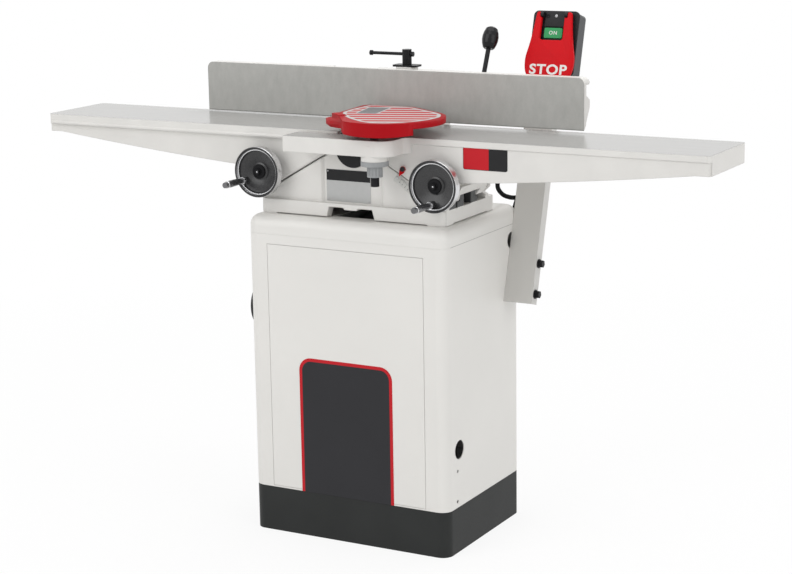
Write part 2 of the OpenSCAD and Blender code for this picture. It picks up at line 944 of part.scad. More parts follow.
// One table casting on the infeed side, level with the cutterhead, its apron set out by face
module table_casting(face) {
    rib_t = 8;
    rib_drop = 22;
    difference() {
        union() {
            intersection() {
                yz_prism(throat_x, half_len)
                    table_section(face == 0);
                table_plan();
            }
            intersection() {
                xz_prism(apron_y0 - face, apron_y0 + apron_t)
                    apron_outline();
                table_plan();
            }
            xz_prism(apron_y1 - apron_t, apron_y1)
                apron_outline();
            intersection() {
                translate([half_len - 14, apron_y0, table_z - end_h])
                    cube([14, apron_y1 - apron_y0, end_h - cut]);
                table_plan();
            }
            for (x = [300 : 110 : half_len - 60])
                translate([x, apron_y0, table_z - plate_t - rib_drop])
                    cube([rib_t, apron_y1 - apron_y0, rib_drop + cut]);
            slide_plate();
            shaft_bosses();
        }
        way_frame(1)
            yz_prism(0, 300)
                rail_outline(way_play, way_play + gib_t + gib_seat, rail_h + gap);
        rack_pocket();
        way_frame(1)
            translate([shaft_s, 0, shaft_n])
                y_rod(shaft_r + run, apron_y0 - 20, rack_y0 + rack_w + 25);
        gib_screw_places()
            y_rod(gib_screw_r + run, rail_y, apron_y1 + cut);
        for (shift = [0, rise])
            translate([shift * cos(way_angle), 0, cut_z - shift * sin(way_angle)])
                y_rod(block_r + 1.5, apron_y0 - face - cut, table_y1 + 5);
    }
}

module table_plan() {
    translate([0, (table_y0 + table_y1) / 2, table_z - 2 * mid_h])
        linear_extrude(3 * mid_h)
            rounded(2 * half_len, table_w + 3, corner_r);
}

// The plate that rides on the way, between the aprons
module slide_plate() {
    xz_prism(apron_y0 + 1, apron_y1 - 1)
        polygon([
            way_point(slide_s0, gap), way_point(slide_s1, gap), way_point(slide_s1, slide_t),
            way_point(slide_s0 + 14, slide_t), way_point(slide_s0 - 6, slide_t - 8)
        ]);
}

module shaft_bosses() {
    way_frame(1)
        translate([shaft_s, 0, shaft_n]) {
            y_rod(shaft_r + 9, apron_y0, rack_y0 - pocket_play);
            y_rod(shaft_r + 9, rack_y0 + rack_w + pocket_play, rack_y0 + rack_w + 26);
        }
}

module rack_pocket() {
    way_frame(1)
        translate([rack_s0 - travel - 6, rack_y0 - pocket_play, -cut])
            cube([rack_s1 - rack_s0 + travel + 60, rack_w + 2 * pocket_play, shaft_n + pinion_r + 14]);
}

module gib_screw_places() {
    way_frame(1)
        for (s = gib_screw_s)
            translate([s, 0, rail_h / 2])
                children();
}

// Back of the gib at a height above the way
function gib_back(n) = rail_y + rail_half + rail_flare * n / rail_h + way_play + gib_t;

module gib() {
    n0 = 2 * gap;
    way_frame(1)
        yz_prism(slide_s0 + 16, slide_s1 - 4)
            polygon([
                [gib_back(n0) - gib_t, n0], [gib_back(n0), n0], [gib_back(rail_h), rail_h],
                [gib_back(rail_h) - gib_t, rail_h]
            ]);
}

module gib_screws() {
    head_r = 5.2;
    tip = gib_back(rail_h / 2 + gib_screw_r) + gib_seat;
    gib_screw_places() {
        y_rod(gib_screw_r, tip, apron_y1 + cut);
        translate([0, apron_y1 + 6, 0])
            rotate([90, 0, 0])
                cylinder(r = head_r, h = 6, $fn = 6);
    }
}

// Plan of the rabbeting ledge at the front of the infeed table
module ledge_plan() {
    end_c = [pivot[0] + 12, ledge_y0 + ledge_end_r];
    right = end_c[0] + ledge_end_r;
    back = table_y0 - 6;
    fillet = 12;
    difference() {
        union() {
            translate([ledge_x0, ledge_y0])
                square([end_c[0] - ledge_x0, back - ledge_y0]);
            translate(end_c)
                circle(ledge_end_r);
            translate([throat_x, end_c[1]])
                square([right - throat_x, apron_y0 + cut - end_c[1]]);
            translate([right - 1, table_y0 - fillet])
                square([fillet + 1, fillet + 4]);
        }
        translate([right + fillet, table_y0 - fillet])
            circle(fillet);
    }
}

module infeed_table() {
    color(white_paint)
        at_depth()
            difference() {
                union() {
                    table_casting(infeed_face);
                    raised(table_z - ledge_h, ledge_h)
                        ledge_plan();
                    translate([pivot[0], pivot[1], table_z - ledge_h - boss_drop])
                        cylinder(r = boss_r, h = ledge_h);
                }
                translate([pivot[0], pivot[1], table_z - 2 * ledge_h])
                    cylinder(r = post_r + run, h = 3 * ledge_h);
                translate([pivot[0] - 105, pivot[1] + 20, table_z - 12])
                    cylinder(r = 2.5, h = 20);
            }
}

module outfeed_table() {
    color(white_paint)
        outfeed_side()
            table_casting(0);
}

module infeed_gib() {
    color(grey_part)
        at_depth()
            gib();
}

module outfeed_gib() {
    color(grey_part)
        outfeed_side()
            gib();
}

module infeed_gib_screws() {
    color(black_part)
        at_depth()
            gib_screws();
}

module outfeed_gib_screws() {
    color(black_part)
        outfeed_side()
            gib_screws();
}

// Red pointer on the infeed apron, with its tip over the way's edge
module depth_pointer() {
    color(red_paint)
        at_depth()
            way_frame(1)
                xz_prism(apron_y0 - infeed_face - 2, apron_y0 - infeed_face)
                    polygon([[113, 16], [113, 8], [118, -3], [123, 8], [123, 16], [120, 18], [116, 18]]);
}

// Grey knob under the ledge that winds up the guard's return spring
module spring_knob() {
    z1 = table_z - ledge_h - boss_drop;
    flange_h = 9;
    body_h = 21;
    flutes = 14;
    color(grey_part)
        at_depth()
            translate([pivot[0], pivot[1], z1 - flange_h - body_h])
                difference() {
                    union() {
                        translate([0, 0, body_h])
                            cylinder(r = 26, h = flange_h);
                        cylinder(r = 14.5, h = body_h + 1);
                    }
                    translate([0, 0, -cut])
                        cylinder(r = post_r + 0.35, h = flange_h + body_h + 2 * cut);
                    for (i = [0 : flutes - 1])
                        rotate(i * 360 / flutes)
                            translate([15.2, 0, 4])
                                cylinder(r = 1.6, h = body_h - 7);
                }
}

// Raising gear

function involute(base_r, a) = [
    base_r * (cos(a) + a * PI / 180 * sin(a)),
    base_r * (sin(a) - a * PI / 180 * cos(a))
];

// One pinion tooth pointing along +X, as points from its right root to its left root
function tooth_points() =
    let (base_r = pinion_r * cos(pressure),
        tip_r = pinion_r + 0.9 * tooth_m,
        root_r = pinion_r - 1.3 * tooth_m,
        half = (tooth_pitch / 2 - backlash) / 2 / pinion_r * 180 / PI,
        start = half + (tan(pressure) * 180 / PI - pressure),
        tip_a = sqrt(pow(tip_r / base_r, 2) - 1) * 180 / PI,
        steps = 5,
        flank = [for (i = [0 : steps]) involute(base_r, tip_a * i / steps)],
        right = concat([[root_r, 0]], flank),
        turned = [for (p = right) [p[0] * cos(start) + p[1] * sin(start), p[1] * cos(start) - p[0] * sin(start)]])
    concat(turned, [for (i = [len(turned) - 1 : -1 : 0]) [turned[i][0], -turned[i][1]]]);

module pinion_outline() {
    points = tooth_points();
    polygon([for (i = [0 : pinion_teeth - 1], p = points)
        let (a = -90 + i * 360 / pinion_teeth)
        [p[0] * cos(a) - p[1] * sin(a), p[0] * sin(a) + p[1] * cos(a)]]);
}

module pinion(turn) {
    way_frame(1)
        translate([shaft_s, 0, shaft_n])
            rotate([0, turn, 0])
                difference() {
                    xz_prism(rack_y0 + 1, rack_y0 + rack_w - 1)
                        pinion_outline();
                    y_rod(shaft_r + seat, rack_y0, rack_y0 + rack_w);
                }
}

module rack() {
    add = 0.8 * tooth_m;
    ded = 1.4 * tooth_m;
    half = (tooth_pitch / 2 - backlash) / 2;
    slope = tan(pressure);
    first = ceil((rack_s0 - shaft_s) / tooth_pitch - 0.5);
    last = floor((rack_s1 - shaft_s) / tooth_pitch - 0.5) - 1;
    way_frame(1)
        xz_prism(rack_y0, rack_y0 + rack_w)
            polygon(concat(
                [[rack_s0, 0], [rack_s0, rack_pitch_n - ded]],
                [for (i = [first : last], k = [0 : 3])
                    let (s = shaft_s + (i + 0.5) * tooth_pitch,
                        dn = k == 0 || k == 3 ? -ded : add,
                        side = k < 2 ? -1 : 1)
                    [s + side * (half - dn * slope), rack_pitch_n + dn]],
                [[rack_s1, rack_pitch_n - ded], [rack_s1, 0]]
            ));
}

module infeed_rack() {
    color(grey_part)
        rack();
}

module outfeed_rack() {
    color(grey_part)
        outfeed_side()
            rack();
}

module infeed_pinion() {
    color(grey_part)
        at_depth()
            pinion(infeed_shift / pinion_r * 180 / PI);
}

module outfeed_pinion() {
    color(grey_part)
        outfeed_side()
            pinion(0);
}

module raising_shaft() {
    way_frame(1)
        translate([shaft_s, 0, shaft_n]) {
            y_rod(shaft_r, wheel_y - 10, rack_y0 + rack_w + 24);
            y_rod(shaft_r + 4, wheel_y, apron_y0 - infeed_face - gap);
        }
}

module infeed_shaft() {
    color(bright_steel)
        at_depth()
            raising_shaft();
}

module outfeed_shaft() {
    color(bright_steel)
        outfeed_side()
            raising_shaft();
}

// Handwheels: placed with their own axis along Z, facing the operator

module wheel_place() {
    at = way_point(shaft_s, shaft_n);
    translate([at[0], wheel_y, at[1]])
        rotate([90, 0, 0])
            children();
}

module at_stud(angle) {
    translate([stud_orbit * cos(angle), stud_orbit * sin(angle), 0])
        children();
}

module handwheel(angle) {
    rim_in = wheel_r - rim_w;
    boss_z = 19;
    wheel_place()
        union() {
            rotate_extrude()
                polygon([
                    [shaft_r + seat, 0], [hub_r, 0], [hub_r + 2, 3], [rim_in - 2, 9], [rim_in, 8],
                    [rim_in, 18], [rim_in - 2, 17], [rim_in - 4, 13], [hub_r + 4, 7], [hub_r, 9],
                    [hub_r - 2, 12], [shaft_r + seat, 12]
                ]);
            at_stud(angle)
                translate([0, 0, 10])
                    cylinder(r = 6, h = boss_z - 10 + 1);
            at_stud(angle)
                translate([0, 0, 10])
                    cylinder(r = stud_r, h = grip_z0 + grip_len - 13);
        }
}

module wheel_rim() {
    rim_in = wheel_r - rim_w;
    round_r = rim_w / 2;
    wheel_place()
        rotate_extrude()
            difference() {
                union() {
                    translate([rim_in + round_r, wheel_depth - round_r])
                        circle(round_r);
                    translate([rim_in + round_r, 4 + round_r])
                        circle(round_r);
                    translate([rim_in, 4 + round_r])
                        square([rim_w, wheel_depth - 4 - 2 * round_r]);
                }
                square([rim_in + seat, wheel_depth]);
            }
}

module crank_grip(angle) {
    end = grip_z0 + grip_len;
    wheel_place()
        at_stud(angle)
            rotate_extrude()
                polygon([
                    [stud_r + run, grip_z0], [5.6, grip_z0], [6, grip_z0 + 6], [5, grip_z0 + 8],
                    [grip_r, grip_z0 + 0.4 * grip_len], [grip_r + 0.4, grip_z0 + 0.7 * grip_len],
                    [6, end - 8], [5.4, end], [0, end], [0, end - 2.6], [stud_r + run, end - 2.6]
                ]);
}

module infeed_wheel() {
    color(black_part)
        at_depth()
            handwheel(infeed_stud_angle);
}

module infeed_rim() {
    color(bright_steel)
        at_depth()
            wheel_rim();
}

module infeed_grip() {
    color(black_part)
        at_depth()
            crank_grip(infeed_stud_angle);
}

module outfeed_wheel() {
    color(black_part)
        outfeed_side()
            handwheel(180 - outfeed_stud_angle);
}

module outfeed_rim() {
    color(bright_steel)
        outfeed_side()
            wheel_rim();
}

module outfeed_grip() {
    color(black_part)
        outfeed_side()
            crank_grip(180 - outfeed_stud_angle);
}

// Guard

edge_dir = (edge_b - edge_a) / norm(edge_b - edge_a);
edge_in = [-edge_dir[1], edge_dir[0]];

front_dir = (edge_c - edge_b) / norm(edge_c - edge_b);
front_in = [-front_dir[1], front_dir[0]];

// Plan of the guard: a round part, a nose that reaches the fence and two straight edges on the left
module guard_plan(inset) {
    r = guard_r - inset;
    back = guard_back - inset;
    touch = guard_c + (r - 0.1) * [cos(tangent_a), sin(tangent_a)];
    nose_x = touch[0] - (back - touch[1]) * tan(tangent_a);
    a = edge_a + inset * edge_in;
    b = edge_b + inset * (edge_in + front_in) / (1 + edge_in * front_in);
    c = edge_c + inset * front_in;
    far = guard_c[0] + 2 * r;
    intersection() {
        union() {
            translate(guard_c)
                circle(r);
            polygon([touch, [nose_x, back], [a[0] + 9, back], a, b, c, guard_c]);
        }
        polygon([[a[0] + 9, back], a, b, c + r * front_dir, [far, c[1] - 2 * r], [far, back]]);
    }
}

// Where the guard's rim reaches down to the ledge
module guard_skirt_zone() {
    polygon([[5, -290], [5, -150], [60, guard_c[1]], [guard_c[0] + 104, guard_c[1] - 78], [183, -290]]);
}

module guard_casting() {
    skirt_z = table_z + 3;
    rim_z = guard_top - guard_rim;
    color(red_paint)
        at_depth()
            difference() {
                union() {
                    difference() {
                        raised(rim_z, guard_rim)
                            guard_plan(0);
                        raised(rim_z - cut, guard_rim + cut - guard_wall)
                            guard_plan(guard_wall);
                    }
                    translate([0, 0, skirt_z])
                        linear_extrude(guard_top - skirt_z - 2)
                            intersection() {
                                difference() {
                                    guard_plan(0);
                                    guard_plan(guard_wall + 1);
                                }
                                guard_skirt_zone();
                            }
                    translate([pivot[0], pivot[1], skirt_z])
                        cylinder(r = post_r + 9, h = guard_top - skirt_z - 1);
                    guard_tab(rim_z);
                }
                translate([pivot[0], pivot[1], skirt_z - cut])
                    cylinder(r = post_r + seat, h = guard_top - skirt_z - guard_wall + cut);
            }
}

// Hand tab on the guard's left edge
module guard_tab(rim_z) {
    raised(rim_z, 11)
        polygon([[20, -190], [-20, -172], [-50, -137], [-50, -118], [-40, -106], [0, -110]]);
    raised(rim_z + 10, 9)
        polygon([[-12, -152], [-44, -125], [-37, -112], [-5, -137]]);
}

module guard_post() {
    color(black_part)
        at_depth()
            translate([pivot[0], pivot[1], table_z - 88])
                cylinder(r = post_r, h = guard_top + 88 - table_z - guard_wall - 0.5);
}

module guard_bumper() {
    bump_len = 26;
    bump_w = 9;
    bump_a = edge_a - seat * edge_in;
    color(black_part)
        at_depth()
            translate([0, 0, guard_top - 15])
                linear_extrude(9)
                    polygon([
                        bump_a, bump_a + bump_len * edge_dir, bump_a + bump_len * edge_dir - bump_w * edge_in,
                        bump_a - bump_w * edge_in
                    ]);
}

// Fence

module fence_section(ribs) {
    rib_h = 14;
    ease = 4;
    polygon([[0, 0], [fence_t, fence_t], [fence_t, fence_h], [0, fence_h]]);
    if (ribs) {
        polygon([
            [0, fence_h - rib_h], [rib_d - ease, fence_h - rib_h], [rib_d, fence_h - rib_h + ease],
            [rib_d, fence_h - ease], [rib_d - ease, fence_h], [0, fence_h]
        ]);
        polygon([
            [fence_t - cut, fence_t + 2], [rib_d, 0.42 * fence_h], [rib_d, 0.42 * fence_h + rib_h],
            [fence_t - cut, 0.42 * fence_h + rib_h + 10]
        ]);
    }
}

ear_zone = ear_x + ear_t + 8;

module at_fence() {
    translate([0, fence_y, fence_z])
        children();
}

// Curved slot or band round the tilt axis, from angle a0 to a1
module tilt_arc(r0, r1, a0, a1) {
    span = 200;
    intersection() {
        difference() {
            circle(r1);
            circle(r0);
        }
        polygon([
            [0, 0], span * [cos(a0), sin(a0)], span * [cos((a0 + a1) / 2), sin((a0 + a1) / 2)],
            span * [cos(a1), sin(a1)]
        ]);
    }
}

module ear_outline() {
    web_r = ear_r0 + 5;
    slot_r = tilt_bolt_r + 0.4;
    a0 = tilt_bolt_a - tilt_fwd - 1;
    a1 = tilt_bolt_a + tilt_back + 1;
    difference() {
        union() {
            tilt_arc(ear_r0, ear_r1, a0 - 10, 88);
            polygon([[fence_t - 2, 18], web_r * [cos(22), sin(22)], web_r * [cos(66), sin(66)],
                [fence_t - 2, ear_r1 - 6]]);
        }
        tilt_arc(tilt_orbit - slot_r, tilt_orbit + slot_r, a0, a1);
        for (a = [a0, a1])
            translate(tilt_orbit * [cos(a), sin(a)])
                circle(slot_r - 0.1);
    }
}

// Front view of the fence, with room below for its ears
module fence_outline() {
    corner = 13;
    below = 60;
    translate([fence_x0, -below])
        square([fence_len, below + fence_h - corner]);
    translate([fence_x0 + corner, 0])
        square([fence_len - 2 * corner, fence_h]);
    for (x = [fence_x0 + corner, fence_x0 + fence_len - corner])
        translate([x, fence_h - corner])
            circle(corner);
}

module fence_casting() {
    boss_h = 22;
    lever_hole = 4;
    color(ground_iron)
        difference() {
            intersection() {
                at_fence()
                    xz_prism(-cut, 2 * ear_r1)
                        fence_outline();
                union() {
                    at_fence()
                        yz_prism(fence_x0, fence_x0 + fence_len)
                            fence_section(false);
                    at_fence()
                        yz_prism(fence_x0, fence_cx - ear_zone)
                            fence_section(true);
                    at_fence()
                        yz_prism(fence_cx + ear_zone, fence_x0 + fence_len)
                            fence_section(true);
                    for (x = [fence_cx - ear_x - ear_t, fence_cx + ear_x])
                        at_fence()
                            yz_prism(x, x + ear_t)
                                ear_outline();
                    at_lever()
                        cylinder(r = lever_r + 5.5, h = boss_h);
                }
            }
            at_lever()
                translate([0, 0, lever_hole])
                    cylinder(r = lever_r + seat, h = boss_h);
        }
}

module at_lever() {
    translate([lever_x, lever_foot[0], lever_foot[1]])
        rotate([-lever_lean, 0, 0])
            children();
}

module tilt_lever() {
    color(black_part)
        at_lever()
            translate([0, 0, 4 + seat])
                cylinder(r = lever_r, h = lever_len + 6);
}

module tilt_knob() {
    end_r = 6;
    color(black_part)
        at_lever()
            translate([0, 0, lever_len])
                difference() {
                    rotate_extrude()
                        polygon(concat(
                            [[0, 0], [9, 0]],
                            [for (a = [-50 : 20 : 50]) [knob_r * cos(a * 0.9), knob_h * (0.5 + a / 110)]],
                            [[9, knob_h], [end_r, knob_h + 1.5], [0, knob_h + 1.5]]
                        ));
                    translate([0, 0, -cut])
                        cylinder(r = lever_r + seat, h = 12);
                }
}

// Fence bridge, carriage and lock

module fence_bridge() {
    col_half = 62;
    col_y0 = deck_y0 - 3;
    col_y1 = pad_y1;
    z0 = stand_h + foot_h;
    web = 10;
    color(white_paint)
        difference() {
            union() {
                translate([fence_cx - pad_half + 2, deck_y0 - 26, z0])
                    cube([2 * pad_half - 4, pad_y1 - deck_y0 + 26, 12]);
                translate([fence_cx - col_half, col_y0, z0])
                    cube([2 * col_half, col_y1 - col_y0, deck_top - deck_t - z0 + cut]);
                translate([fence_cx - deck_half, deck_y0, deck_top - deck_t])
                    cube([2 * deck_half, deck_y1 - deck_y0, deck_t]);
                for (x = [-1, 1])
                    yz_prism(fence_cx + x * 40 - web / 2, fence_cx + x * 40 + web / 2)
                        polygon([
                            [col_y1 - cut, deck_top - deck_t + cut], [deck_y1, deck_top - deck_t + cut],
                            [deck_y1, deck_top - deck_t - 8], [col_y1 - cut, z0 + 90]
                        ]);
            }
            translate([fence_cx - col_half + web, col_y0 + web, z0 + 12])
                cube([2 * col_half - 2 * web, col_y1, deck_top - deck_t - z0 - 24]);
            translate([fence_cx - tee_slot / 2, tee_y - 22, deck_top - deck_t - cut])
                cube([tee_slot, 60, deck_t + 2 * cut]);
            translate([fence_cx - nut_r - 2, tee_y - 22, deck_top - deck_t - nut_h - 4])
                cube([2 * nut_r + 4, 60, nut_h + 4]);
            for (x = [-1, 1])
                translate([fence_cx + x * (pad_half - 12), deck_y0 - 10, z0 - cut])
                    cylinder(r = 5, h = 12 + 2 * cut);
        }
}

module fence_carriage() {
    half = arm_x + arm_t;
    y1 = deck_y1 - 8;
    pin_at = [fence_y + tilt_orbit * cos(tilt_bolt_a), fence_z + tilt_orbit * sin(tilt_bolt_a)];
    color(white_paint)
        difference() {
            union() {
                translate([fence_cx - half, fence_y + 98, deck_top + gap])
                    cube([2 * half, y1 - fence_y - 98, carriage_t]);
                for (x = [fence_cx - half, fence_cx + arm_x])
                    yz_prism(x, x + arm_t) {
                        polygon([
                            [pin_at[0] - 10, pin_at[1] - 11], [pin_at[0] + 12, pin_at[1] - 11],
                            [y1, deck_top - 20], [y1, carriage_top], [fence_y + 98, carriage_top],
                            [pin_at[0] - 10, pin_at[1] + 6]
                        ]);
                        translate(pin_at)
                            circle(11);
                    }
                translate([fence_cx, tee_y, carriage_top - cut])
                    cylinder(r = 22, h = boss_z - carriage_top + cut);
            }
            translate([fence_cx, tee_y, deck_top])
                cylinder(r = lock_r + run, h = 60);
            for (x = [fence_cx - half - cut, fence_cx + arm_x - cut])
                translate([0, pin_at[0], pin_at[1]])
                    x_rod(tilt_bolt_r + seat, x, x + arm_t + 2 * cut);
        }
}

module tilt_bolts() {
    head = 6;
    reach = arm_t + ear_t + 1.5;
    color(black_part)
        for (side = [-1, 1])
            translate([fence_cx, fence_y + tilt_orbit * cos(tilt_bolt_a), fence_z + tilt_orbit * sin(tilt_bolt_a)])
                mirror([side < 0 ? 1 : 0, 0, 0]) {
                    x_rod(tilt_bolt_r, arm_x, arm_x + reach);
                    x_rod(9, arm_x + reach, arm_x + reach + head);
                }
}

lock_r = 5;
nut_r = 10;
nut_h = 9;
boss_z = carriage_top + 12;
head_r = 9.4;
head_h = 30;
bar_r = 3.2;
bar_z = boss_z + washer_t + 21;
bar_len = 93;
bolt_top = boss_z + washer_t + 14;

// Clamp washer, and the T-bolt that runs in the bridge's slot
module lock_washer() {
    color(black_part)
        translate([fence_cx, tee_y, 0]) {
            difference() {
                raised(boss_z, washer_t)
                    rounded(54, 30, 6);
                translate([0, 0, boss_z - cut])
                    cylinder(r = lock_r + run, h = washer_t + 2 * cut);
            }
            translate([0, 0, deck_top - deck_t - nut_h])
                cylinder(r = lock_r, h = bolt_top - deck_top + deck_t + nut_h);
            translate([0, 0, deck_top - deck_t - nut_h])
                cylinder(r = nut_r, h = nut_h - gap);
        }
}

// Round head of the T-handle, which turns on the bolt
module lock_handle() {
    color(black_part)
        translate([fence_cx, tee_y, 0])
            difference() {
                translate([0, 0, boss_z + washer_t + gap])
                    cylinder(r = head_r, h = head_h);
                translate([0, 0, boss_z])
                    cylinder(r = lock_r + run, h = bolt_top - boss_z + gap);
                translate([0, 0, bar_z])
                    x_rod(bar_r + run, -head_r - cut, head_r + cut);
            }
}

// Sliding bar of the T-handle, with a stop at each end
module lock_bar() {
    stop = 5;
    color(black_part)
        translate([fence_cx + head_r + gap, tee_y, bar_z]) {
            x_rod(bar_r, -bar_len + stop, stop);
            x_rod(bar_r + 1.8, 0, stop);
            x_rod(bar_r + 1.8, -bar_len, -bar_len + stop);
        }
}

// Switch

module arm_frame() {
    translate(arm_foot)
        rotate([-lean, 0, 0])
            children();
}

module switch_arm() {
    color(white_paint)
        arm_frame()
            difference() {
                cube([arm_w, arm_flange, arm_len]);
                translate([arm_sheet, arm_sheet, -cut])
                    cube([arm_w - 2 * arm_sheet, arm_flange, arm_len + 2 * cut]);
                for (z = bolt_up)
                    translate([0, arm_flange / 2, z])
                        x_rod(4.2, -cut, arm_w + cut);
                lead_exit();
            }
}

// Hole for the lead through the arm's web and the switch box's back
module lead_exit() {
    translate([lead_x, 0, lead_exit_z])
        y_rod(lead_r + lead_fit, -8, 8);
}

module arm_bolts() {
    washer_r = 9;
    head_h = 8;
    color(black_part)
        arm_frame()
            for (z = bolt_up)
                translate([0, arm_flange / 2, z]) {
                    x_rod(4, -14, arm_w + 1);
                    x_rod(washer_r, arm_w, arm_w + 2);
                    x_rod(6.5, arm_w + 2 - seat, arm_w + 2 + head_h);
                    x_rod(7, -sheet_t - 7, -sheet_t);
                }
}

module switch_box() {
    wall = 2;
    color(grey_part)
        arm_frame()
            difference() {
                xz_prism(-box_d, 0)
                    translate([box_x + box_w / 2, box_z0 + box_h / 2])
                        rounded(box_w - 4, box_h - 4, 8);
                xz_prism(-box_d - cut, -wall)
                    translate([box_x + box_w / 2, box_z0 + box_h / 2])
                        rounded(box_w - 4 - 2 * wall, box_h - 4 - 2 * wall, 6);
                lead_exit();
            }
}

module switch_bezel() {
    color(black_part)
        arm_frame()
            difference() {
                union() {
                    xz_prism(-box_d - bezel_t, -box_d)
                        translate([box_x + box_w / 2, box_z0 + box_h / 2])
                            rounded(box_w, box_h, 10);
                    for (x = [box_x + 20, box_x + box_w - 20 - 6])
                        yz_prism(x, x + 6)
                            paddle_lug();
                }
                xz_prism(-box_d - bezel_t - cut, -box_d + cut)
                    translate([button_x, button_z])
                        square(button_size + [2 * gap, 2 * gap], center = true);
            }
}

paddle_axis_y = -box_d - bezel_t - paddle_gap - paddle_t / 2;

// Lug on the bezel with the pin that the paddle hangs on
module paddle_lug() {
    difference() {
        union() {
            translate([paddle_axis_y, paddle_pin_z - 5])
                square([-box_d - paddle_axis_y, 10]);
            translate([paddle_axis_y, paddle_pin_z])
                circle(5);
        }
        translate([paddle_axis_y, paddle_pin_z])
            circle(2.05);
    }
}

module paddle_plan() {
    mid = box_x + box_w / 2;
    upper = box_w / 2 - 4;
    wide = box_w / 2 + 5;
    corner = 12;
    foot = box_z0 - 10;
    top = box_z0 + box_h - 3;
    difference() {
        union() {
            translate([mid, foot])
                polygon([
                    [-upper, top - foot], [-wide, corner], [corner - wide, 0],
                    [wide - corner, 0], [wide, corner], [upper, top - foot]
                ]);
            for (x = [corner - wide, wide - corner])
                translate([mid + x, foot + corner])
                    circle(corner);
        }
        translate([button_x - button_size[0] / 2 - 5, button_z - button_size[1] / 2 - 5])
            square([button_size[0] + 10, box_h]);
    }
}

module stop_paddle() {
    y1 = -box_d - bezel_t - paddle_gap;
    color(red_paint)
        arm_frame()
            union() {
                difference() {
                    xz_prism(y1 - paddle_t, y1)
                        paddle_plan();
                    for (x = [box_x + 20, box_x + box_w - 20 - 6])
                        translate([x - gap, y1 - paddle_t - cut, paddle_pin_z - 6])
                            cube([6 + 2 * gap, paddle_t + 2 * cut, 30]);
                }
                translate([0, paddle_axis_y, paddle_pin_z]) {
                    x_rod(2, box_x + 12, button_x - button_size[0] / 2 - 6);
                    x_rod(2, button_x + button_size[0] / 2 + 6, box_x + box_w - 12);
                }
            }
}

module on_button() {
    press = 3;
    color(green_part)
        arm_frame()
            xz_prism(-box_d - bezel_t - press - 1.5, -box_d + 8)
                translate([button_x, button_z])
                    rounded(button_size[0], button_size[1], 3);
}

// Lead

function unit(v) = v / norm(v);
function tangent_at(p, i) = unit(p[min(i + 1, len(p) - 1)] - p[max(i - 1, 0)]);

// Side vectors carried along a route without twisting
function carried(p, i) =
    i == 0
        ? unit(cross(tangent_at(p, 0), [0.2, 0.3, 1]))
        : let (last = carried(p, i - 1), t = tangent_at(p, i))
            unit(last - (last * t) * t);

module tube(p, r, sides) {
    rings = [for (i = [0 : len(p) - 1])
        let (t = tangent_at(p, i), u = carried(p, i), v = cross(t, u))
        [for (k = [0 : sides - 1])
            let (a = k * 360 / sides)
            p[i] + r * (cos(a) * u + sin(a) * v)]];
    last = len(p) - 1;
    polyhedron(
        points = [for (ring = rings) each ring],
        faces = concat(
            [[for (k = [0 : sides - 1]) k]],
            [for (i = [0 : last - 1], k = [0 : sides - 1])
                let (n = (k + 1) % sides)
                each [
                    [i * sides + k, (i + 1) * sides + k, (i + 1) * sides + n],
                    [i * sides + k, (i + 1) * sides + n, i * sides + n]
                ]],
            [[for (k = [sides - 1 : -1 : 0]) last * sides + k]]
        )
    );
}

module switch_lead() {
    color(black_part)
        tube(lead_points, lead_r, 10);
}

plinth();
cabinet();
front_panel();
stand_top();
rear_cover();
chip_chute();
dust_port();
motor_shelf();
motor_body();
drive_belt();
belt_cover();
base_casting();
base_bolts();
front_bearing();
rear_bearing();
infeed_rack();
outfeed_rack();
fence_bridge();
switch_arm();
arm_bolts();
switch_box();
switch_bezel();
switch_lead();
infeed_table();
infeed_gib();
infeed_gib_screws();
depth_pointer();
spring_knob();
outfeed_table();
outfeed_gib();
outfeed_gib_screws();
infeed_wheel();
infeed_rim();
infeed_shaft();
infeed_pinion();
infeed_grip();
outfeed_wheel();
outfeed_rim();
outfeed_shaft();
outfeed_pinion();
outfeed_grip();
guard_casting();
guard_post();
guard_bumper();
fence_carriage();
tilt_bolts();
lock_washer();
fence_casting();
tilt_lever();
tilt_knob();
lock_handle();
lock_bar();
cutter_drum();
knives();
knife_gibs();
head_pulley();
motor_shaft();
motor_pulley();
stop_paddle();
on_button();
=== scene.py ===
import math

import bmesh
import bpy
from mathutils import Matrix, Vector


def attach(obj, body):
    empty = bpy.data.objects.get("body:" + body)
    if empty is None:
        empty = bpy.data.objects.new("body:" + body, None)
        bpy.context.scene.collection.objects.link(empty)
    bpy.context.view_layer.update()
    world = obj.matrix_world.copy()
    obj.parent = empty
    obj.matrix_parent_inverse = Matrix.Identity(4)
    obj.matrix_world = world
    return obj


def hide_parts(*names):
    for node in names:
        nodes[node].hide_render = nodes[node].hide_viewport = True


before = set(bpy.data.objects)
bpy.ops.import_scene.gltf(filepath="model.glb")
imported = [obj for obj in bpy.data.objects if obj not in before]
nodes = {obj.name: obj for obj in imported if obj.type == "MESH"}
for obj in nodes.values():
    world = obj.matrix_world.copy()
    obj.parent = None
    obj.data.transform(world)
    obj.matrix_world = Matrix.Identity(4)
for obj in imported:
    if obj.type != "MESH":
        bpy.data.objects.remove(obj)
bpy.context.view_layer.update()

scene = bpy.context.scene
scene.view_settings.view_transform = "Standard"
mm = 0.001
weld = 1e-6     # m: corners closer than this become one
lift = 0.02     # mm: from a face to the sign or plate on it
print("frame loaded:", len(nodes), "nodes")


def at(x, y, z):
    return Matrix.Translation((x * mm, y * mm, z * mm))


def turnedAbout(axis, degrees):
    return Matrix.Rotation(math.radians(degrees), 4, axis)


facingFront = turnedAbout("X", 90)   # local Z looks towards the operator
alongX = turnedAbout("Y", 90)        # local Z looks along X


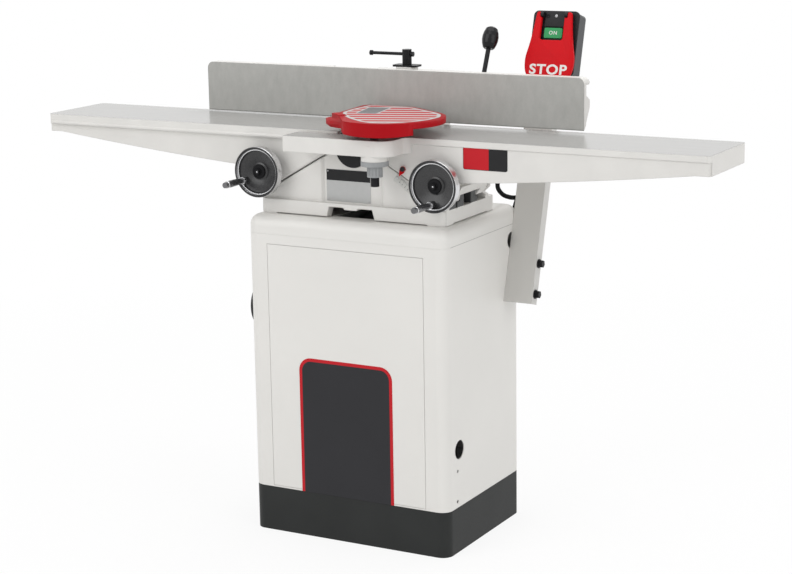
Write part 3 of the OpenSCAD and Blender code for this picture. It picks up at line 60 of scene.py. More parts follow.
# camera, set where the picture was taken from
cameraSpec = {
    "place": (1.87375, -3.33836, 1.32319), "yaw": 28.99, "pitch": 12.47, "roll": -0.92,
    "lens": 90.75, "sensor": 36, "reach": 100,
}


def addCamera(spec):
    yaw, pitch, roll = (math.radians(spec[key]) for key in ("yaw", "pitch", "roll"))
    ahead = Vector((-math.sin(yaw) * math.cos(pitch), math.cos(yaw) * math.cos(pitch), -math.sin(pitch)))
    side = Vector((math.cos(yaw), math.sin(yaw), 0))
    up = side.cross(ahead)
    right = math.cos(roll) * side + math.sin(roll) * up
    top = math.cos(roll) * up - math.sin(roll) * side
    data = bpy.data.cameras.new("camera")
    data.lens = spec["lens"]
    data.sensor_width = spec["sensor"]
    data.clip_end = spec["reach"]
    camera = bpy.data.objects.new("camera", data)
    turn = Matrix((right, top, -ahead)).transposed().to_4x4()
    camera.matrix_world = Matrix.Translation(spec["place"]) @ turn
    scene.collection.objects.link(camera)
    scene.camera = camera


addCamera(cameraSpec)


# frame of the leaning switch arm: its lower left corner, and its lean in degrees
armSpec = {"place": (216, 85.2, 451.6), "lean": -16}
armFrame = at(*armSpec["place"]) @ turnedAbout("X", armSpec["lean"])

# lead from the switch, down inside the arm and round one loose loop into the stand
leadSpec = {
    "radius": 4.5, "sides": 5, "steps": 8, "armX": 30,
    "inArm": [
        (2.6, 500), (10, 499.5), (17, 496), (21, 489), (22.5, 479), (20.5, 464), (16.5, 446), (13.5, 428),
        (12, 400), (12, 370), (12, 340), (12, 310), (12, 280), (12, 250), (15, 222)],
    "behindBase": [
        (242, 168, 651), (233, 175, 645), (220, 177, 642), (204, 177, 641), (186, 175, 641), (170, 173, 648),
        (162, 172, 664), (170, 172, 680), (187, 176, 687), (202, 182, 678), (207, 186, 661), (200, 188, 644),
        (192, 188, 620), (186, 186, 594), (184, 180, 574), (183, 170, 563), (183, 160, 560),
        (183, 148, 560)],
}


def addLead(spec):
    route = [armFrame @ Vector((spec["armX"] * mm, back * mm, up * mm)) for back, up in spec["inArm"]]
    route += [Vector(point) * mm for point in spec["behindBase"]]
    curve = bpy.data.curves.new("switchLead", "CURVE")
    curve.dimensions = "3D"
    curve.bevel_depth = 1    # times each knot's radius
    curve.bevel_resolution = spec["sides"]
    curve.resolution_u = spec["steps"]
    curve.use_fill_caps = True
    spline = curve.splines.new("BEZIER")
    spline.bezier_points.add(len(route) - 1)
    for knot, point in zip(spline.bezier_points, route):
        knot.co = point
        knot.radius = spec["radius"] * mm
        knot.handle_left_type = knot.handle_right_type = "AUTO"
    lead = bpy.data.objects.new("switchLead", curve)
    scene.collection.objects.link(lead)
    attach(lead, "stand")
    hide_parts("switch_lead")
    bpy.context.view_layer.update()
    return lead


lead = addLead(leadSpec)


# node helpers: a value is either a socket to link or a constant to set
def feed(tree, socket, value):
    if isinstance(value, bpy.types.NodeSocket):
        tree.links.new(value, socket)
    else:
        socket.default_value = value


def mathNode(tree, operation, first, second):
    node = tree.nodes.new("ShaderNodeMath")
    node.operation = operation
    feed(tree, node.inputs[0], first)
    feed(tree, node.inputs[1], second)
    return node.outputs[0]


def vectorNode(tree, operation, *vectors):
    node = tree.nodes.new("ShaderNodeVectorMath")
    node.operation = operation
    for socket, vector in zip(node.inputs, vectors):
        feed(tree, socket, vector)
    return node


def dotNode(tree, first, second):
    return vectorNode(tree, "DOT_PRODUCT", first, second).outputs["Value"]


def noiseNode(tree, place, scale, detail, rough=0.55):
    node = tree.nodes.new("ShaderNodeTexNoise")
    for label, value in (("Vector", place), ("Scale", scale), ("Detail", detail), ("Roughness", rough)):
        feed(tree, node.inputs[label], value)
    return node.outputs["Fac"]


def rangeNode(tree, value, fromLow, fromHigh, toLow, toHigh):
    node = tree.nodes.new("ShaderNodeMapRange")
    labels = ("Value", "From Min", "From Max", "To Min", "To Max")
    for label, number in zip(labels, (value, fromLow, fromHigh, toLow, toHigh)):
        feed(tree, node.inputs[label], number)
    return node.outputs["Result"]


def mixNode(tree, mask, first, second, kind="RGBA"):
    node = tree.nodes.new("ShaderNodeMix")
    node.data_type = kind
    for label, value in (("Factor", mask), ("A", first), ("B", second)):
        feed(tree, node.inputs[label], value)
    return node.outputs["Result"]


def newMaterial(name):
    made = bpy.data.materials.new(name)
    made.use_nodes = True
    tree = made.node_tree
    return made, tree, tree.nodes["Principled BSDF"].inputs, tree.nodes.new("ShaderNodeTexCoord").outputs


# studio: soft lamps, a white surround and a pale floor that fades to white with distance
lampSpec = {
    "key": {"place": (-1.6, -3.4, 2.9), "aim": (0, 0, 0.6), "size": 3.4, "power": 64},
    "side": {"place": (3.6, -1.2, 2.0), "aim": (0, 0, 0.5), "size": 3.0, "power": 37},
    "top": {"place": (0.2, 0.2, 3.6), "aim": (0, 0, 0.8), "size": 3.0, "power": 46},
    "back": {"place": (0.6, 3.0, 3.6), "aim": (0, 0, 0.6), "size": 2.6, "power": 26},
}
surroundSpec = {"light": 0.5, "seen": 1.0}
floorSpec = {"size": 9, "shade": 0.93, "rough": 0.9, "fade": (0.5, 2.4, 0.86, 1.0)}


def addLamps(spec):
    for name, lamp in spec.items():
        data = bpy.data.lights.new(name, "AREA")
        data.shape = "SQUARE"
        data.size = lamp["size"]
        data.energy = lamp["power"]
        thing = bpy.data.objects.new(name, data)
        thing.location = lamp["place"]
        look = Vector(lamp["aim"]) - Vector(lamp["place"])
        thing.rotation_euler = look.to_track_quat("-Z", "Y").to_euler()
        scene.collection.objects.link(thing)


def seenDirectly(tree):
    path = tree.nodes.new("ShaderNodeLightPath").outputs
    seen = mathNode(tree, "MAXIMUM", path["Is Camera Ray"], path["Is Glossy Ray"])
    return mathNode(tree, "MAXIMUM", seen, path["Is Transmission Ray"])


def addSurround(spec):
    world = bpy.data.worlds.new("surround")
    world.use_nodes = True
    tree = world.node_tree
    ground = tree.nodes["Background"].inputs
    ground["Color"].default_value = (1, 1, 1, 1)
    level = rangeNode(tree, seenDirectly(tree), 0.0, 1.0, spec["light"], spec["seen"])
    tree.links.new(level, ground["Strength"])
    scene.world = world


def addFloor(spec):
    bm = bmesh.new()
    bmesh.ops.create_grid(bm, x_segments=1, y_segments=1, size=spec["size"])
    mesh = bpy.data.meshes.new("floor")
    bm.to_mesh(mesh)
    bm.free()
    floor = bpy.data.objects.new("floor", mesh)
    scene.collection.objects.link(floor)
    made, tree, shader, coords = newMaterial("paleFloor")
    shader["Base Color"].default_value = (spec["shade"], spec["shade"], spec["shade"], 1)
    shader["Roughness"].default_value = spec["rough"]
    away = vectorNode(tree, "LENGTH", coords["Object"]).outputs["Value"]
    fade = rangeNode(tree, away, *spec["fade"])
    mix = tree.nodes.new("ShaderNodeMixShader")
    tree.links.new(mathNode(tree, "MULTIPLY", seenDirectly(tree), fade), mix.inputs["Fac"])
    tree.links.new(tree.nodes["Principled BSDF"].outputs[0], mix.inputs[1])
    tree.links.new(tree.nodes.new("ShaderNodeEmission").outputs[0], mix.inputs[2])
    tree.links.new(mix.outputs[0], tree.nodes["Material Output"].inputs["Surface"])
    mesh.materials.append(made)


addLamps(lampSpec)
addSurround(surroundSpec)
addFloor(floorSpec)
print("studio set")


# shared surface effects, one node group each
def newGroup(name, inputs, outputs):
    group = bpy.data.node_groups.new(name, "ShaderNodeTree")
    for label, kind, value in inputs:
        socket = group.interface.new_socket(name=label, in_out="INPUT", socket_type="NodeSocket" + kind)
        if value is not None:
            socket.default_value = value
    for label, kind in outputs:
        group.interface.new_socket(name=label, in_out="OUTPUT", socket_type="NodeSocket" + kind)
    given = group.nodes.new("NodeGroupInput").outputs
    return group, given, group.nodes.new("NodeGroupOutput").inputs


skinInputs = [("Place", "Vector", None), ("Colour", "Color", (0.5, 0.5, 0.5, 1)), ("Tint", "Float", 0.05),
              ("Rough low", "Float", 0.35), ("Rough high", "Float", 0.5)]
skinOutputs = [("Colour", "Color"), ("Roughness", "Float"), ("Height", "Float")]


# colour and roughness that follow two noises over a span of their values
def linkSkin(group, given, out, span, shadeBy, roughBy):
    low = mathNode(group, "SUBTRACT", 1.0, given["Tint"])
    high = mathNode(group, "ADD", 1.0, given["Tint"])
    tinted = vectorNode(group, "SCALE", given["Colour"])
    group.links.new(rangeNode(group, shadeBy, *span, low, high), tinted.inputs["Scale"])
    group.links.new(tinted.outputs["Vector"], out["Colour"])
    rough = rangeNode(group, roughBy, *span, given["Rough low"], given["Rough high"])
    group.links.new(rough, out["Roughness"])


# grain: slow tint, fine surface height and a roughness that follows both
grainSpec = {"slowDetail": 4.0, "fineDetail": 2.0, "span": (0.3, 0.7)}


def makeGrain(spec):
    scales = [("Tint scale", "Float", 6.0), ("Fine scale", "Float", 700.0)]
    group, given, out = newGroup("grain", skinInputs + scales, skinOutputs)
    slow = noiseNode(group, given["Place"], given["Tint scale"], spec["slowDetail"])
    fine = noiseNode(group, given["Place"], given["Fine scale"], spec["fineDetail"])
    mean = mathNode(group, "MULTIPLY", mathNode(group, "ADD", slow, fine), 0.5)
    linkSkin(group, given, out, spec["span"], slow, mean)
    group.links.new(fine, out["Height"])
    return group


# brushed: long scratches along one direction, with darker and lighter clouds and specks
brushedSpec = {
    "span": (0.35, 0.65), "shares": (0.45, 0.4, 0.15),
    "lines": (1.0, 4.0, 0.6), "cloud": (9.0, 5.0, 0.6), "speck": (420.0, 1.0, 0.55),
}


def makeBrushed(spec):
    stretch = [("Stretch", "Vector", (8, 600, 600))]
    group, given, out = newGroup("brushed", skinInputs + stretch, skinOutputs)
    stretched = vectorNode(group, "MULTIPLY", given["Place"], given["Stretch"]).outputs["Vector"]
    lines = noiseNode(group, stretched, *spec["lines"])
    cloud = noiseNode(group, given["Place"], *spec["cloud"])
    speck = noiseNode(group, given["Place"], *spec["speck"])
    blend = 0.0
    for noise, share in zip((lines, cloud, speck), spec["shares"]):
        blend = mathNode(group, "ADD", mathNode(group, "MULTIPLY", noise, share), blend)
    linkSkin(group, given, out, spec["span"], blend, blend)
    group.links.new(lines, out["Height"])
    return group


# faceMask: one where a face looks along a direction and lies beyond a height
def makeFaceMask():
    group, given, out = newGroup("faceMask", [
        ("Place", "Vector", None), ("Normal", "Vector", None), ("Look", "Vector", (0, 0, 1)),
        ("Level", "Float", 0.0), ("Facing", "Float", 0.9)], [("Mask", "Float")])
    facing = mathNode(group, "GREATER_THAN", dotNode(group, given["Normal"], given["Look"]), given["Facing"])
    beyond = mathNode(group, "GREATER_THAN", dotNode(group, given["Place"], given["Look"]), given["Level"])
    group.links.new(mathNode(group, "MULTIPLY", facing, beyond), out["Mask"])
    return group


# softEdge: a normal that rounds sharp corners
def makeSoftEdge(samples):
    group, given, out = newGroup("softEdge", [("Radius", "Float", 0.002)], [("Normal", "Vector")])
    rounder = group.nodes.new("ShaderNodeBevel")
    rounder.samples = samples
    group.links.new(given["Radius"], rounder.inputs["Radius"])
    group.links.new(rounder.outputs["Normal"], out["Normal"])
    return group


# stripes: one inside bands that cross a direction
def makeStripes():
    group, given, out = newGroup("stripes", [
        ("Place", "Vector", None), ("Across", "Vector", (1, 0, 0)), ("Period", "Float", 0.03),
        ("Share", "Float", 0.5), ("Offset", "Float", 0.0)], [("Mask", "Float")])
    way = mathNode(group, "ADD", dotNode(group, given["Place"], given["Across"]), given["Offset"])
    part = mathNode(group, "FLOORED_MODULO", mathNode(group, "DIVIDE", way, given["Period"]), 1.0)
    group.links.new(mathNode(group, "LESS_THAN", part, given["Share"]), out["Mask"])
    return group


# boxMask: one inside a box that is the same on both sides of X = 0
def makeBoxMask():
    group, given, out = newGroup("boxMask", [
        ("Place", "Vector", None), ("Low", "Vector", (0, 0, 0)), ("High", "Vector", (1, 1, 1))],
        [("Mask", "Float")])
    parts = {}
    for label in ("Place", "Low", "High"):
        split = group.nodes.new("ShaderNodeSeparateXYZ")
        group.links.new(given[label], split.inputs[0])
        parts[label] = list(split.outputs)
    parts["Place"][0] = mathNode(group, "ABSOLUTE", parts["Place"][0], 0.0)
    inside = 1.0
    for place, low, high in zip(*parts.values()):
        inside = mathNode(group, "MULTIPLY", mathNode(group, "GREATER_THAN", place, low), inside)
        inside = mathNode(group, "MULTIPLY", mathNode(group, "LESS_THAN", place, high), inside)
    group.links.new(inside, out["Mask"])
    return group


groups = {
    "grain": makeGrain(grainSpec), "brushed": makeBrushed(brushedSpec), "faceMask": makeFaceMask(),
    "softEdge": makeSoftEdge(samples=6), "stripes": makeStripes(), "boxMask": makeBoxMask(),
}


def placeGroup(tree, name, values):
    node = tree.nodes.new("ShaderNodeGroup")
    node.node_tree = groups[name]
    for label, value in values.items():
        feed(tree, node.inputs[label], value)
    return node.outputs


# plain finishes: paint, plastic, rubber and bare metal; soft is the look of rounded edges in mm
finishes = {
    "sheetPaint": {"colour": (0.755, 0.742, 0.712), "tint": 0.018, "tintScale": 5, "fine": 620,
                   "rough": (0.32, 0.44), "bump": 0.05, "coat": 0.12, "level": 0.4, "soft": 1.5},
    "castPaint": {"colour": (0.722, 0.709, 0.681), "tint": 0.03, "tintScale": 14, "fine": 380,
                  "rough": (0.34, 0.5), "bump": 0.09, "coat": 0.1, "level": 0.4, "soft": 3.0},
    # the cabinet's paint darkened: painted shade on the switch arm
    "armPaint": {"colour": (0.61, 0.6, 0.575), "tint": 0.02, "tintScale": 5, "fine": 620,
                 "rough": (0.32, 0.44), "bump": 0.05, "coat": 0.12, "level": 0.4, "soft": 1.5},
    "plinthPaint": {"colour": (0.021, 0.0225, 0.022), "tint": 0.14, "tintScale": 9, "fine": 520,
                    "rough": (0.42, 0.58), "bump": 0.07, "level": 0.22, "soft": 2.0},
    "guardRed": {"colour": (0.38, 0.0025, 0.007), "tint": 0.05, "tintScale": 18, "fine": 420,
                 "rough": (0.36, 0.5), "bump": 0.08, "level": 0.12, "soft": 3.0},
    "paddleRed": {"colour": (0.61, 0.0043, 0.0097), "tint": 0.03, "tintScale": 20, "fine": 900,
                  "rough": (0.34, 0.46), "bump": 0.05, "level": 0.1, "soft": 2.0},
    "buttonGreen": {"colour": (0.012, 0.30, 0.085), "tint": 0.03, "tintScale": 30, "fine": 900,
                    "rough": (0.3, 0.4), "bump": 0.04, "level": 0.3, "soft": 1.0},
    "blackMoulding": {"colour": (0.012, 0.012, 0.013), "tint": 0.2, "tintScale": 30, "fine": 1100,
                      "rough": (0.26, 0.4), "bump": 0.1, "level": 0.35, "soft": 1.0},
    "wheelBlack": {"colour": (0.022, 0.022, 0.023), "tint": 0.2, "tintScale": 45, "fine": 1100,
                   "rough": (0.2, 0.34), "bump": 0.08, "level": 0.55, "soft": 1.0},
    "hubBlack": {"colour": (0.005, 0.005, 0.006), "tint": 0.2, "tintScale": 60, "fine": 900,
                 "rough": (0.4, 0.55), "bump": 0.06, "level": 0.15},
    "gripDark": {"colour": (0.17, 0.17, 0.175), "tint": 0.12, "tintScale": 60, "fine": 900,
                 "rough": (0.16, 0.26), "bump": 0.05, "level": 0.6, "metal": 0.85},
    "knobBlack": {"colour": (0.006, 0.006, 0.007), "tint": 0.15, "tintScale": 30, "fine": 900,
                  "rough": (0.14, 0.24), "bump": 0.03, "level": 0.24},
    "bezelBlack": {"colour": (0.012, 0.0125, 0.014), "tint": 0.12, "tintScale": 30, "fine": 1300,
                   "rough": (0.45, 0.6), "bump": 0.12, "level": 0.25, "soft": 1.0},
    "boxGrey": {"colour": (0.085, 0.088, 0.092), "tint": 0.06, "tintScale": 18, "fine": 900,
                "rough": (0.45, 0.6), "bump": 0.1, "level": 0.3, "soft": 2.0},
    "knobGrey": {"colour": (0.31, 0.32, 0.325), "tint": 0.1, "tintScale": 60, "fine": 900,
                 "rough": (0.4, 0.55), "bump": 0.12, "level": 0.4, "soft": 1.0},
    "sheetGrey": {"colour": (0.3, 0.31, 0.31), "tint": 0.08, "tintScale": 12, "fine": 400,
                  "rough": (0.4, 0.6), "bump": 0.08, "metal": 0.7},
    "blackRubber": {"colour": (0.009, 0.009, 0.01), "tint": 0.25, "tintScale": 40, "fine": 700,
                    "rough": (0.55, 0.75), "bump": 0.15, "level": 0.2},
    "blackIron": {"colour": (0.01, 0.01, 0.011), "tint": 0.2, "tintScale": 40, "fine": 500,
                  "rough": (0.4, 0.6), "bump": 0.12, "level": 0.25, "soft": 1.0},
    "darkSteel": {"colour": (0.016, 0.016, 0.0175), "tint": 0.15, "tintScale": 60, "fine": 800,
                  "rough": (0.3, 0.45), "bump": 0.08, "level": 0.2, "metal": 0.5, "soft": 0.6},
    "chrome": {"colour": (0.70, 0.70, 0.71), "tint": 0.02, "tintScale": 30, "fine": 500,
               "rough": (0.08, 0.14), "bump": 0.01, "metal": 1.0},
    "turnedSteel": {"colour": (0.5, 0.5, 0.51), "tint": 0.06, "tintScale": 40, "fine": 900,
                    "rough": (0.22, 0.36), "bump": 0.05, "metal": 1.0},
    "plateSilver": {"colour": (0.47, 0.475, 0.47), "tint": 0.03, "tintScale": 60, "fine": 1200,
                    "rough": (0.34, 0.44), "bump": 0.03, "level": 0.35, "metal": 0.3},
    "plateBlack": {"colour": (0.011, 0.011, 0.012), "tint": 0.1, "tintScale": 60, "fine": 1200,
                   "rough": (0.36, 0.46), "bump": 0.03, "level": 0.25},
    "panelDark": {"colour": (0.024, 0.024, 0.027), "tint": 0.05, "tintScale": 10, "fine": 1000,
                  "rough": (0.38, 0.48), "bump": 0.03, "level": 0.22},
    "signRed": {"colour": (0.52, 0.011, 0.019), "tint": 0.02, "tintScale": 20, "fine": 1000,
                "rough": (0.36, 0.46), "bump": 0.03, "level": 0.2},
    "signWhite": {"colour": (0.78, 0.78, 0.76), "tint": 0.02, "tintScale": 40, "fine": 1000,
                  "rough": (0.4, 0.5), "bump": 0.03, "level": 0.3},
    "signGrey": {"colour": (0.50, 0.50, 0.49), "tint": 0.05, "tintScale": 90, "fine": 1000,
                 "rough": (0.4, 0.5), "bump": 0.03, "level": 0.3},
    "patchGrey": {"colour": (0.16, 0.16, 0.165), "tint": 0.5, "tintScale": 420, "fine": 900,
                  "rough": (0.45, 0.6), "bump": 0.06, "level": 0.3},
    # grey of the painted shade line under the stand's rolled top
    "seamGrey": {"colour": (0.40, 0.395, 0.38), "tint": 0.1, "tintScale": 60, "fine": 800,
                 "rough": (0.5, 0.6), "bump": 0.03, "level": 0.2},
    "scalePale": {"colour": (0.60, 0.60, 0.57), "tint": 0.06, "tintScale": 160, "fine": 1200,
                  "rough": (0.36, 0.48), "bump": 0.04, "level": 0.35, "metal": 0.15},
    "tickInk": {"colour": (0.03, 0.03, 0.032), "tint": 0.2, "tintScale": 200, "fine": 1200,
                "rough": (0.5, 0.6), "bump": 0.02, "level": 0.2},
}
paintDeep = 0.6     # mm, height of a painted grain
metalDeep = 0.5     # mm, height of a scratch or a printed face
plainLevel = 0.5
coatRough = 0.25


def addBump(tree, shader, height, strength, deep, soft):
    bump = tree.nodes.new("ShaderNodeBump")
    if soft > 0:
        tree.links.new(placeGroup(tree, "softEdge", {"Radius": soft * mm})["Normal"], bump.inputs["Normal"])
    bump.inputs["Strength"].default_value = strength
    bump.inputs["Distance"].default_value = deep * mm
    tree.links.new(height, bump.inputs["Height"])
    tree.links.new(bump.outputs["Normal"], shader["Normal"])


def placeGrain(tree, place, paint, colour):
    return placeGroup(tree, "grain", {
        "Place": place, "Colour": colour, "Tint scale": paint["tintScale"], "Tint": paint["tint"],
        "Fine scale": paint["fine"], "Rough low": paint["rough"][0], "Rough high": paint["rough"][1]})


def applyPaint(tree, shader, place, paint, colour, deep):
    skin = placeGrain(tree, place, paint, colour)
    tree.links.new(skin["Colour"], shader["Base Color"])
    tree.links.new(skin["Roughness"], shader["Roughness"])
    addBump(tree, shader, skin["Height"], paint["bump"], deep, paint.get("soft", 0.0))
    shader["Specular IOR Level"].default_value = paint.get("level", plainLevel)


def plainFinish(name, spec):
    made, tree, shader, coords = newMaterial(name)
    applyPaint(tree, shader, coords["Object"], spec, (*spec["colour"], 1), paintDeep)
    shader["Metallic"].default_value = spec.get("metal", 0.0)
    shader["Coat Weight"].default_value = spec.get("coat", 0.0)
    shader["Coat Roughness"].default_value = coatRough
    return made


materials = {name: plainFinish(name, spec) for name, spec in finishes.items()}


# castings that are painted all over but ground bright on one side
groundSpec = {
    "tableSkin": {"look": (0, 0, 1), "side": 0.7955, "bright": (0.40, 0.397, 0.385),
                  "stretch": (10, 260, 260), "metal": 0.1, "rough": (0.18, 0.23), "tint": 0.022,
                  "bump": 0.01, "soft": 2.5, "level": 0.3},
    "fenceSkin": {"look": (0, -1, 0), "side": -0.0445, "bright": (0.41, 0.408, 0.389),
                  "stretch": (70, 70, 30), "metal": 0.3, "rough": (0.44, 0.58), "tint": 0.1,
                  "bump": 0.06, "soft": 2.5, "level": 0.3},
}


def groundFinish(name, spec):
    made, tree, shader, coords = newMaterial(name)
    place = coords["Object"]
    paint = finishes["castPaint"]
    skin = placeGrain(tree, place, paint, (*paint["colour"], 1))
    metal = placeGroup(tree, "brushed", {
        "Place": place, "Colour": (*spec["bright"], 1), "Stretch": spec["stretch"], "Tint": spec["tint"],
        "Rough low": spec["rough"][0], "Rough high": spec["rough"][1]})
    mask = placeGroup(tree, "faceMask", {
        "Place": place, "Normal": coords["Normal"], "Look": spec["look"], "Level": spec["side"]})["Mask"]
    tree.links.new(mixNode(tree, mask, skin["Colour"], metal["Colour"]), shader["Base Color"])
    rough = mixNode(tree, mask, skin["Roughness"], metal["Roughness"], "FLOAT")
    height = mixNode(tree, mask, skin["Height"], metal["Height"], "FLOAT")
    tree.links.new(rough, shader["Roughness"])
    addBump(tree, shader, height, spec["bump"], metalDeep, spec["soft"])
    tree.links.new(mathNode(tree, "MULTIPLY", mask, spec["metal"]), shader["Metallic"])
    shader["Specular IOR Level"].default_value = spec["level"]
    return made


for name, spec in groundSpec.items():
    materials[name] = groundFinish(name, spec)


# base casting: painted outside; along the ways and inside a dark colour, partly the bare oily iron and
# partly painted shade inside the base
baseSpec = {"low": (0.02, -0.1095, 0.6625), "high": (0.21, 0.0405, 0.79), "bareAndShade": (0.075, 0.077, 0.078),
            "metal": 0.4}


def baseFinish(name, spec):
    made, tree, shader, coords = newMaterial(name)
    place = coords["Object"]
    paint = finishes["castPaint"]
    inside = placeGroup(tree, "boxMask", {"Place": place, "Low": spec["low"], "High": spec["high"]})["Mask"]
    # inside the box: bare metal colour darkened with painted shade
    colour = mixNode(tree, inside, (*paint["colour"], 1), (*spec["bareAndShade"], 1))
    applyPaint(tree, shader, place, paint, colour, paintDeep)
    tree.links.new(mathNode(tree, "MULTIPLY", inside, spec["metal"]), shader["Metallic"])
    return made


# handwheel rims: bright chrome round the outside; the front faces get a near-black colour, partly a black
# front and partly painted dark reflection of the chrome there
rimSpec = {
    "look": (0, -1, 0), "facing": 0.55, "anyPlace": -9.0, "frontBlackAndReflection": (0.02, 0.02, 0.021),
    "bright": (0.70, 0.70, 0.71), "metal": (1.0, 0.1), "rough": (0.24, 0.34), "tint": 0.04, "tintScale": 40,
    "fine": 700, "bump": 0.02, "level": 0.4,
}


def rimFinish(name, spec):
    made, tree, shader, coords = newMaterial(name)
    place = coords["Object"]
    front = placeGroup(tree, "faceMask", {
        "Place": place, "Normal": coords["Normal"], "Look": spec["look"], "Level": spec["anyPlace"],
        "Facing": spec["facing"]})["Mask"]
    # front faces take the near-black colour: black front and painted dark reflection
    colour = mixNode(tree, front, (*spec["bright"], 1), (*spec["frontBlackAndReflection"], 1))
    applyPaint(tree, shader, place, spec, colour, metalDeep)
    tree.links.new(rangeNode(tree, front, 0.0, 1.0, *spec["metal"]), shader["Metallic"])
    return made


# red and pale bands of the guard's sign
stripeSpec = {
    "red": (0.47, 0.006, 0.013), "pale": (0.50, 0.50, 0.49), "angle": 20, "period": 29.4, "share": 0.56,
    "offset": 16, "rough": (0.38, 0.5), "tint": 0.05, "tintScale": 70, "fine": 900, "bump": 0.03,
    "level": 0.12,
}


def stripeFinish(name, spec):
    made, tree, shader, coords = newMaterial(name)
    place = coords["Object"]
    turn = math.radians(spec["angle"])
    bands = placeGroup(tree, "stripes", {
        "Place": place, "Across": (math.sin(turn), -math.cos(turn), 0), "Period": spec["period"] * mm,
        "Share": spec["share"], "Offset": spec["offset"] * mm})["Mask"]
    colour = mixNode(tree, bands, (*spec["pale"], 1), (*spec["red"], 1))
    applyPaint(tree, shader, place, spec, colour, metalDeep)
    return made


materials["baseSkin"] = baseFinish("baseSkin", baseSpec)
materials["rimSkin"] = rimFinish("rimSkin", rimSpec)
materials["guardStripes"] = stripeFinish("guardStripes", stripeSpec)

nodeFinish = {
    "sheetPaint": ["cabinet", "front_panel", "stand_top", "rear_cover"],
    "armPaint": ["switch_arm"],
    "castPaint": ["fence_bridge", "fence_carriage"],
    "baseSkin": ["base_casting"],
    "tableSkin": ["infeed_table", "outfeed_table"],
    "fenceSkin": ["fence_casting"],
    "plinthPaint": ["plinth"],
    "guardRed": ["guard_casting"],
    "paddleRed": ["stop_paddle", "depth_pointer"],
    "buttonGreen": ["on_button"],
    "blackMoulding": ["dust_port"],
    "wheelBlack": ["infeed_wheel", "outfeed_wheel"],
    "gripDark": ["infeed_grip", "outfeed_grip"],
    "knobBlack": ["tilt_knob"],
    "bezelBlack": ["switch_bezel"],
    "boxGrey": ["switch_box"],
    "knobGrey": ["spring_knob"],
    "rimSkin": ["infeed_rim", "outfeed_rim"],
    "turnedSteel": ["cutter_drum", "knives", "infeed_shaft", "outfeed_shaft", "motor_shaft"],
    "darkSteel": ["arm_bolts", "base_bolts", "infeed_gib_screws", "outfeed_gib_screws", "guard_post",
                  "lock_handle", "lock_bar", "lock_washer", "tilt_bolts", "tilt_lever", "knife_gibs",
                  "infeed_rack", "outfeed_rack", "infeed_pinion", "outfeed_pinion", "infeed_gib",
                  "outfeed_gib"],
    "blackIron": ["front_bearing", "rear_bearing", "motor_body", "head_pulley", "motor_pulley"],
    "sheetGrey": ["chip_chute", "motor_shelf", "belt_cover"],
    "blackRubber": ["drive_belt", "switch_lead", "guard_bumper"],
}
for finish, members in nodeFinish.items():
    for member in members:
        slots = nodes[member].data.materials
        slots.clear()
        slots.append(materials[finish])
lead.data.materials.append(materials["blackRubber"])
print("finishes on", sum(len(members) for members in nodeFinish.values()), "nodes")


# piece helpers, all sizes in mm; a look is a finish, the body that carries the piece and its slot
def finishPiece(bm, name, look, lie=None, smoothAngle=35):
    finish, body, slot = look
    if lie is not None:
        bmesh.ops.transform(bm, matrix=lie, verts=bm.verts)
    bmesh.ops.remove_doubles(bm, verts=bm.verts, dist=weld)
    bmesh.ops.recalc_face_normals(bm, faces=bm.faces)
    mesh = bpy.data.meshes.new(name)
    bm.to_mesh(mesh)
    bm.free()
    for polygon in mesh.polygons:
        polygon.use_smooth = True
    mesh.set_sharp_from_angle(angle=math.radians(smoothAngle))
    mesh.materials.append(materials[finish])
    return addPiece(mesh, name, body)


def addPiece(mesh, name, body):
    piece = bpy.data.objects.new(name, mesh)
    scene.collection.objects.link(piece)
    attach(piece, body)
    return piece


def eased(bm, geom, offset, steps, affect="EDGES"):
    bmesh.ops.bevel(bm, geom=geom, offset=offset * mm, offset_type="OFFSET", segments=steps, profile=0.5,
                    affect=affect, material=-1)


def drawnOut(bm, x, y, z):
    made = bmesh.ops.extrude_face_region(bm, geom=list(bm.faces))
    ends = [item for item in made["geom"] if isinstance(item, bmesh.types.BMVert)]
    bmesh.ops.translate(bm, vec=(x * mm, y * mm, z * mm), verts=ends)


# edges of the front face of a plate that looks along -Y
def frontEdges(bm, front):
    return [edge for edge in bm.edges if all(vert.co.y < front * mm for vert in edge.verts)]


frontShare = 0.9     # of a piece's thickness, beyond which an edge is on its front
cornerSteps = 8
edgeSteps = 2


# slab facing -Y: middle at the origin, back face on y = 0, top and bottom corners by radius
def slab(width, height, thick, radii=(0, 0), ease=0.0):
    bm = bmesh.new()
    bmesh.ops.create_grid(bm, x_segments=1, y_segments=1, size=0.5)
    bmesh.ops.scale(bm, vec=(width * mm, height * mm, 1), verts=bm.verts)
    for vert in list(bm.verts):
        radius = radii[0] if vert.co.y > 0 else radii[1]
        if radius > 0:
            eased(bm, [vert], radius, cornerSteps, "VERTICES")
    bmesh.ops.transform(bm, matrix=facingFront, verts=bm.verts)
    drawnOut(bm, 0, -thick, 0)
    if ease > 0:
        eased(bm, frontEdges(bm, -thick * frontShare), ease, edgeSteps)
    return bm


# round piece turned from a profile of (radius, height) about Z
def turned(profile, steps=40):
    bm = bmesh.new()
    line = [bm.verts.new((radius * mm, 0, height * mm)) for radius, height in profile]
    edges = [bm.edges.new(pair) for pair in zip(line, line[1:])]
    bmesh.ops.spin(bm, geom=line + edges, cent=(0, 0, 0), axis=(0, 0, 1), angle=math.tau, steps=steps,
                   use_merge=True)
    bmesh.ops.remove_doubles(bm, verts=bm.verts, dist=weld)
    return bm


# front panel sign: a red border round a dark field
panelSign = {"x": (-104, 101), "z": (90.1, 361), "border": 6.5, "corner": 26, "thick": 0.35, "y": -160,
             "sunk": 0.6}


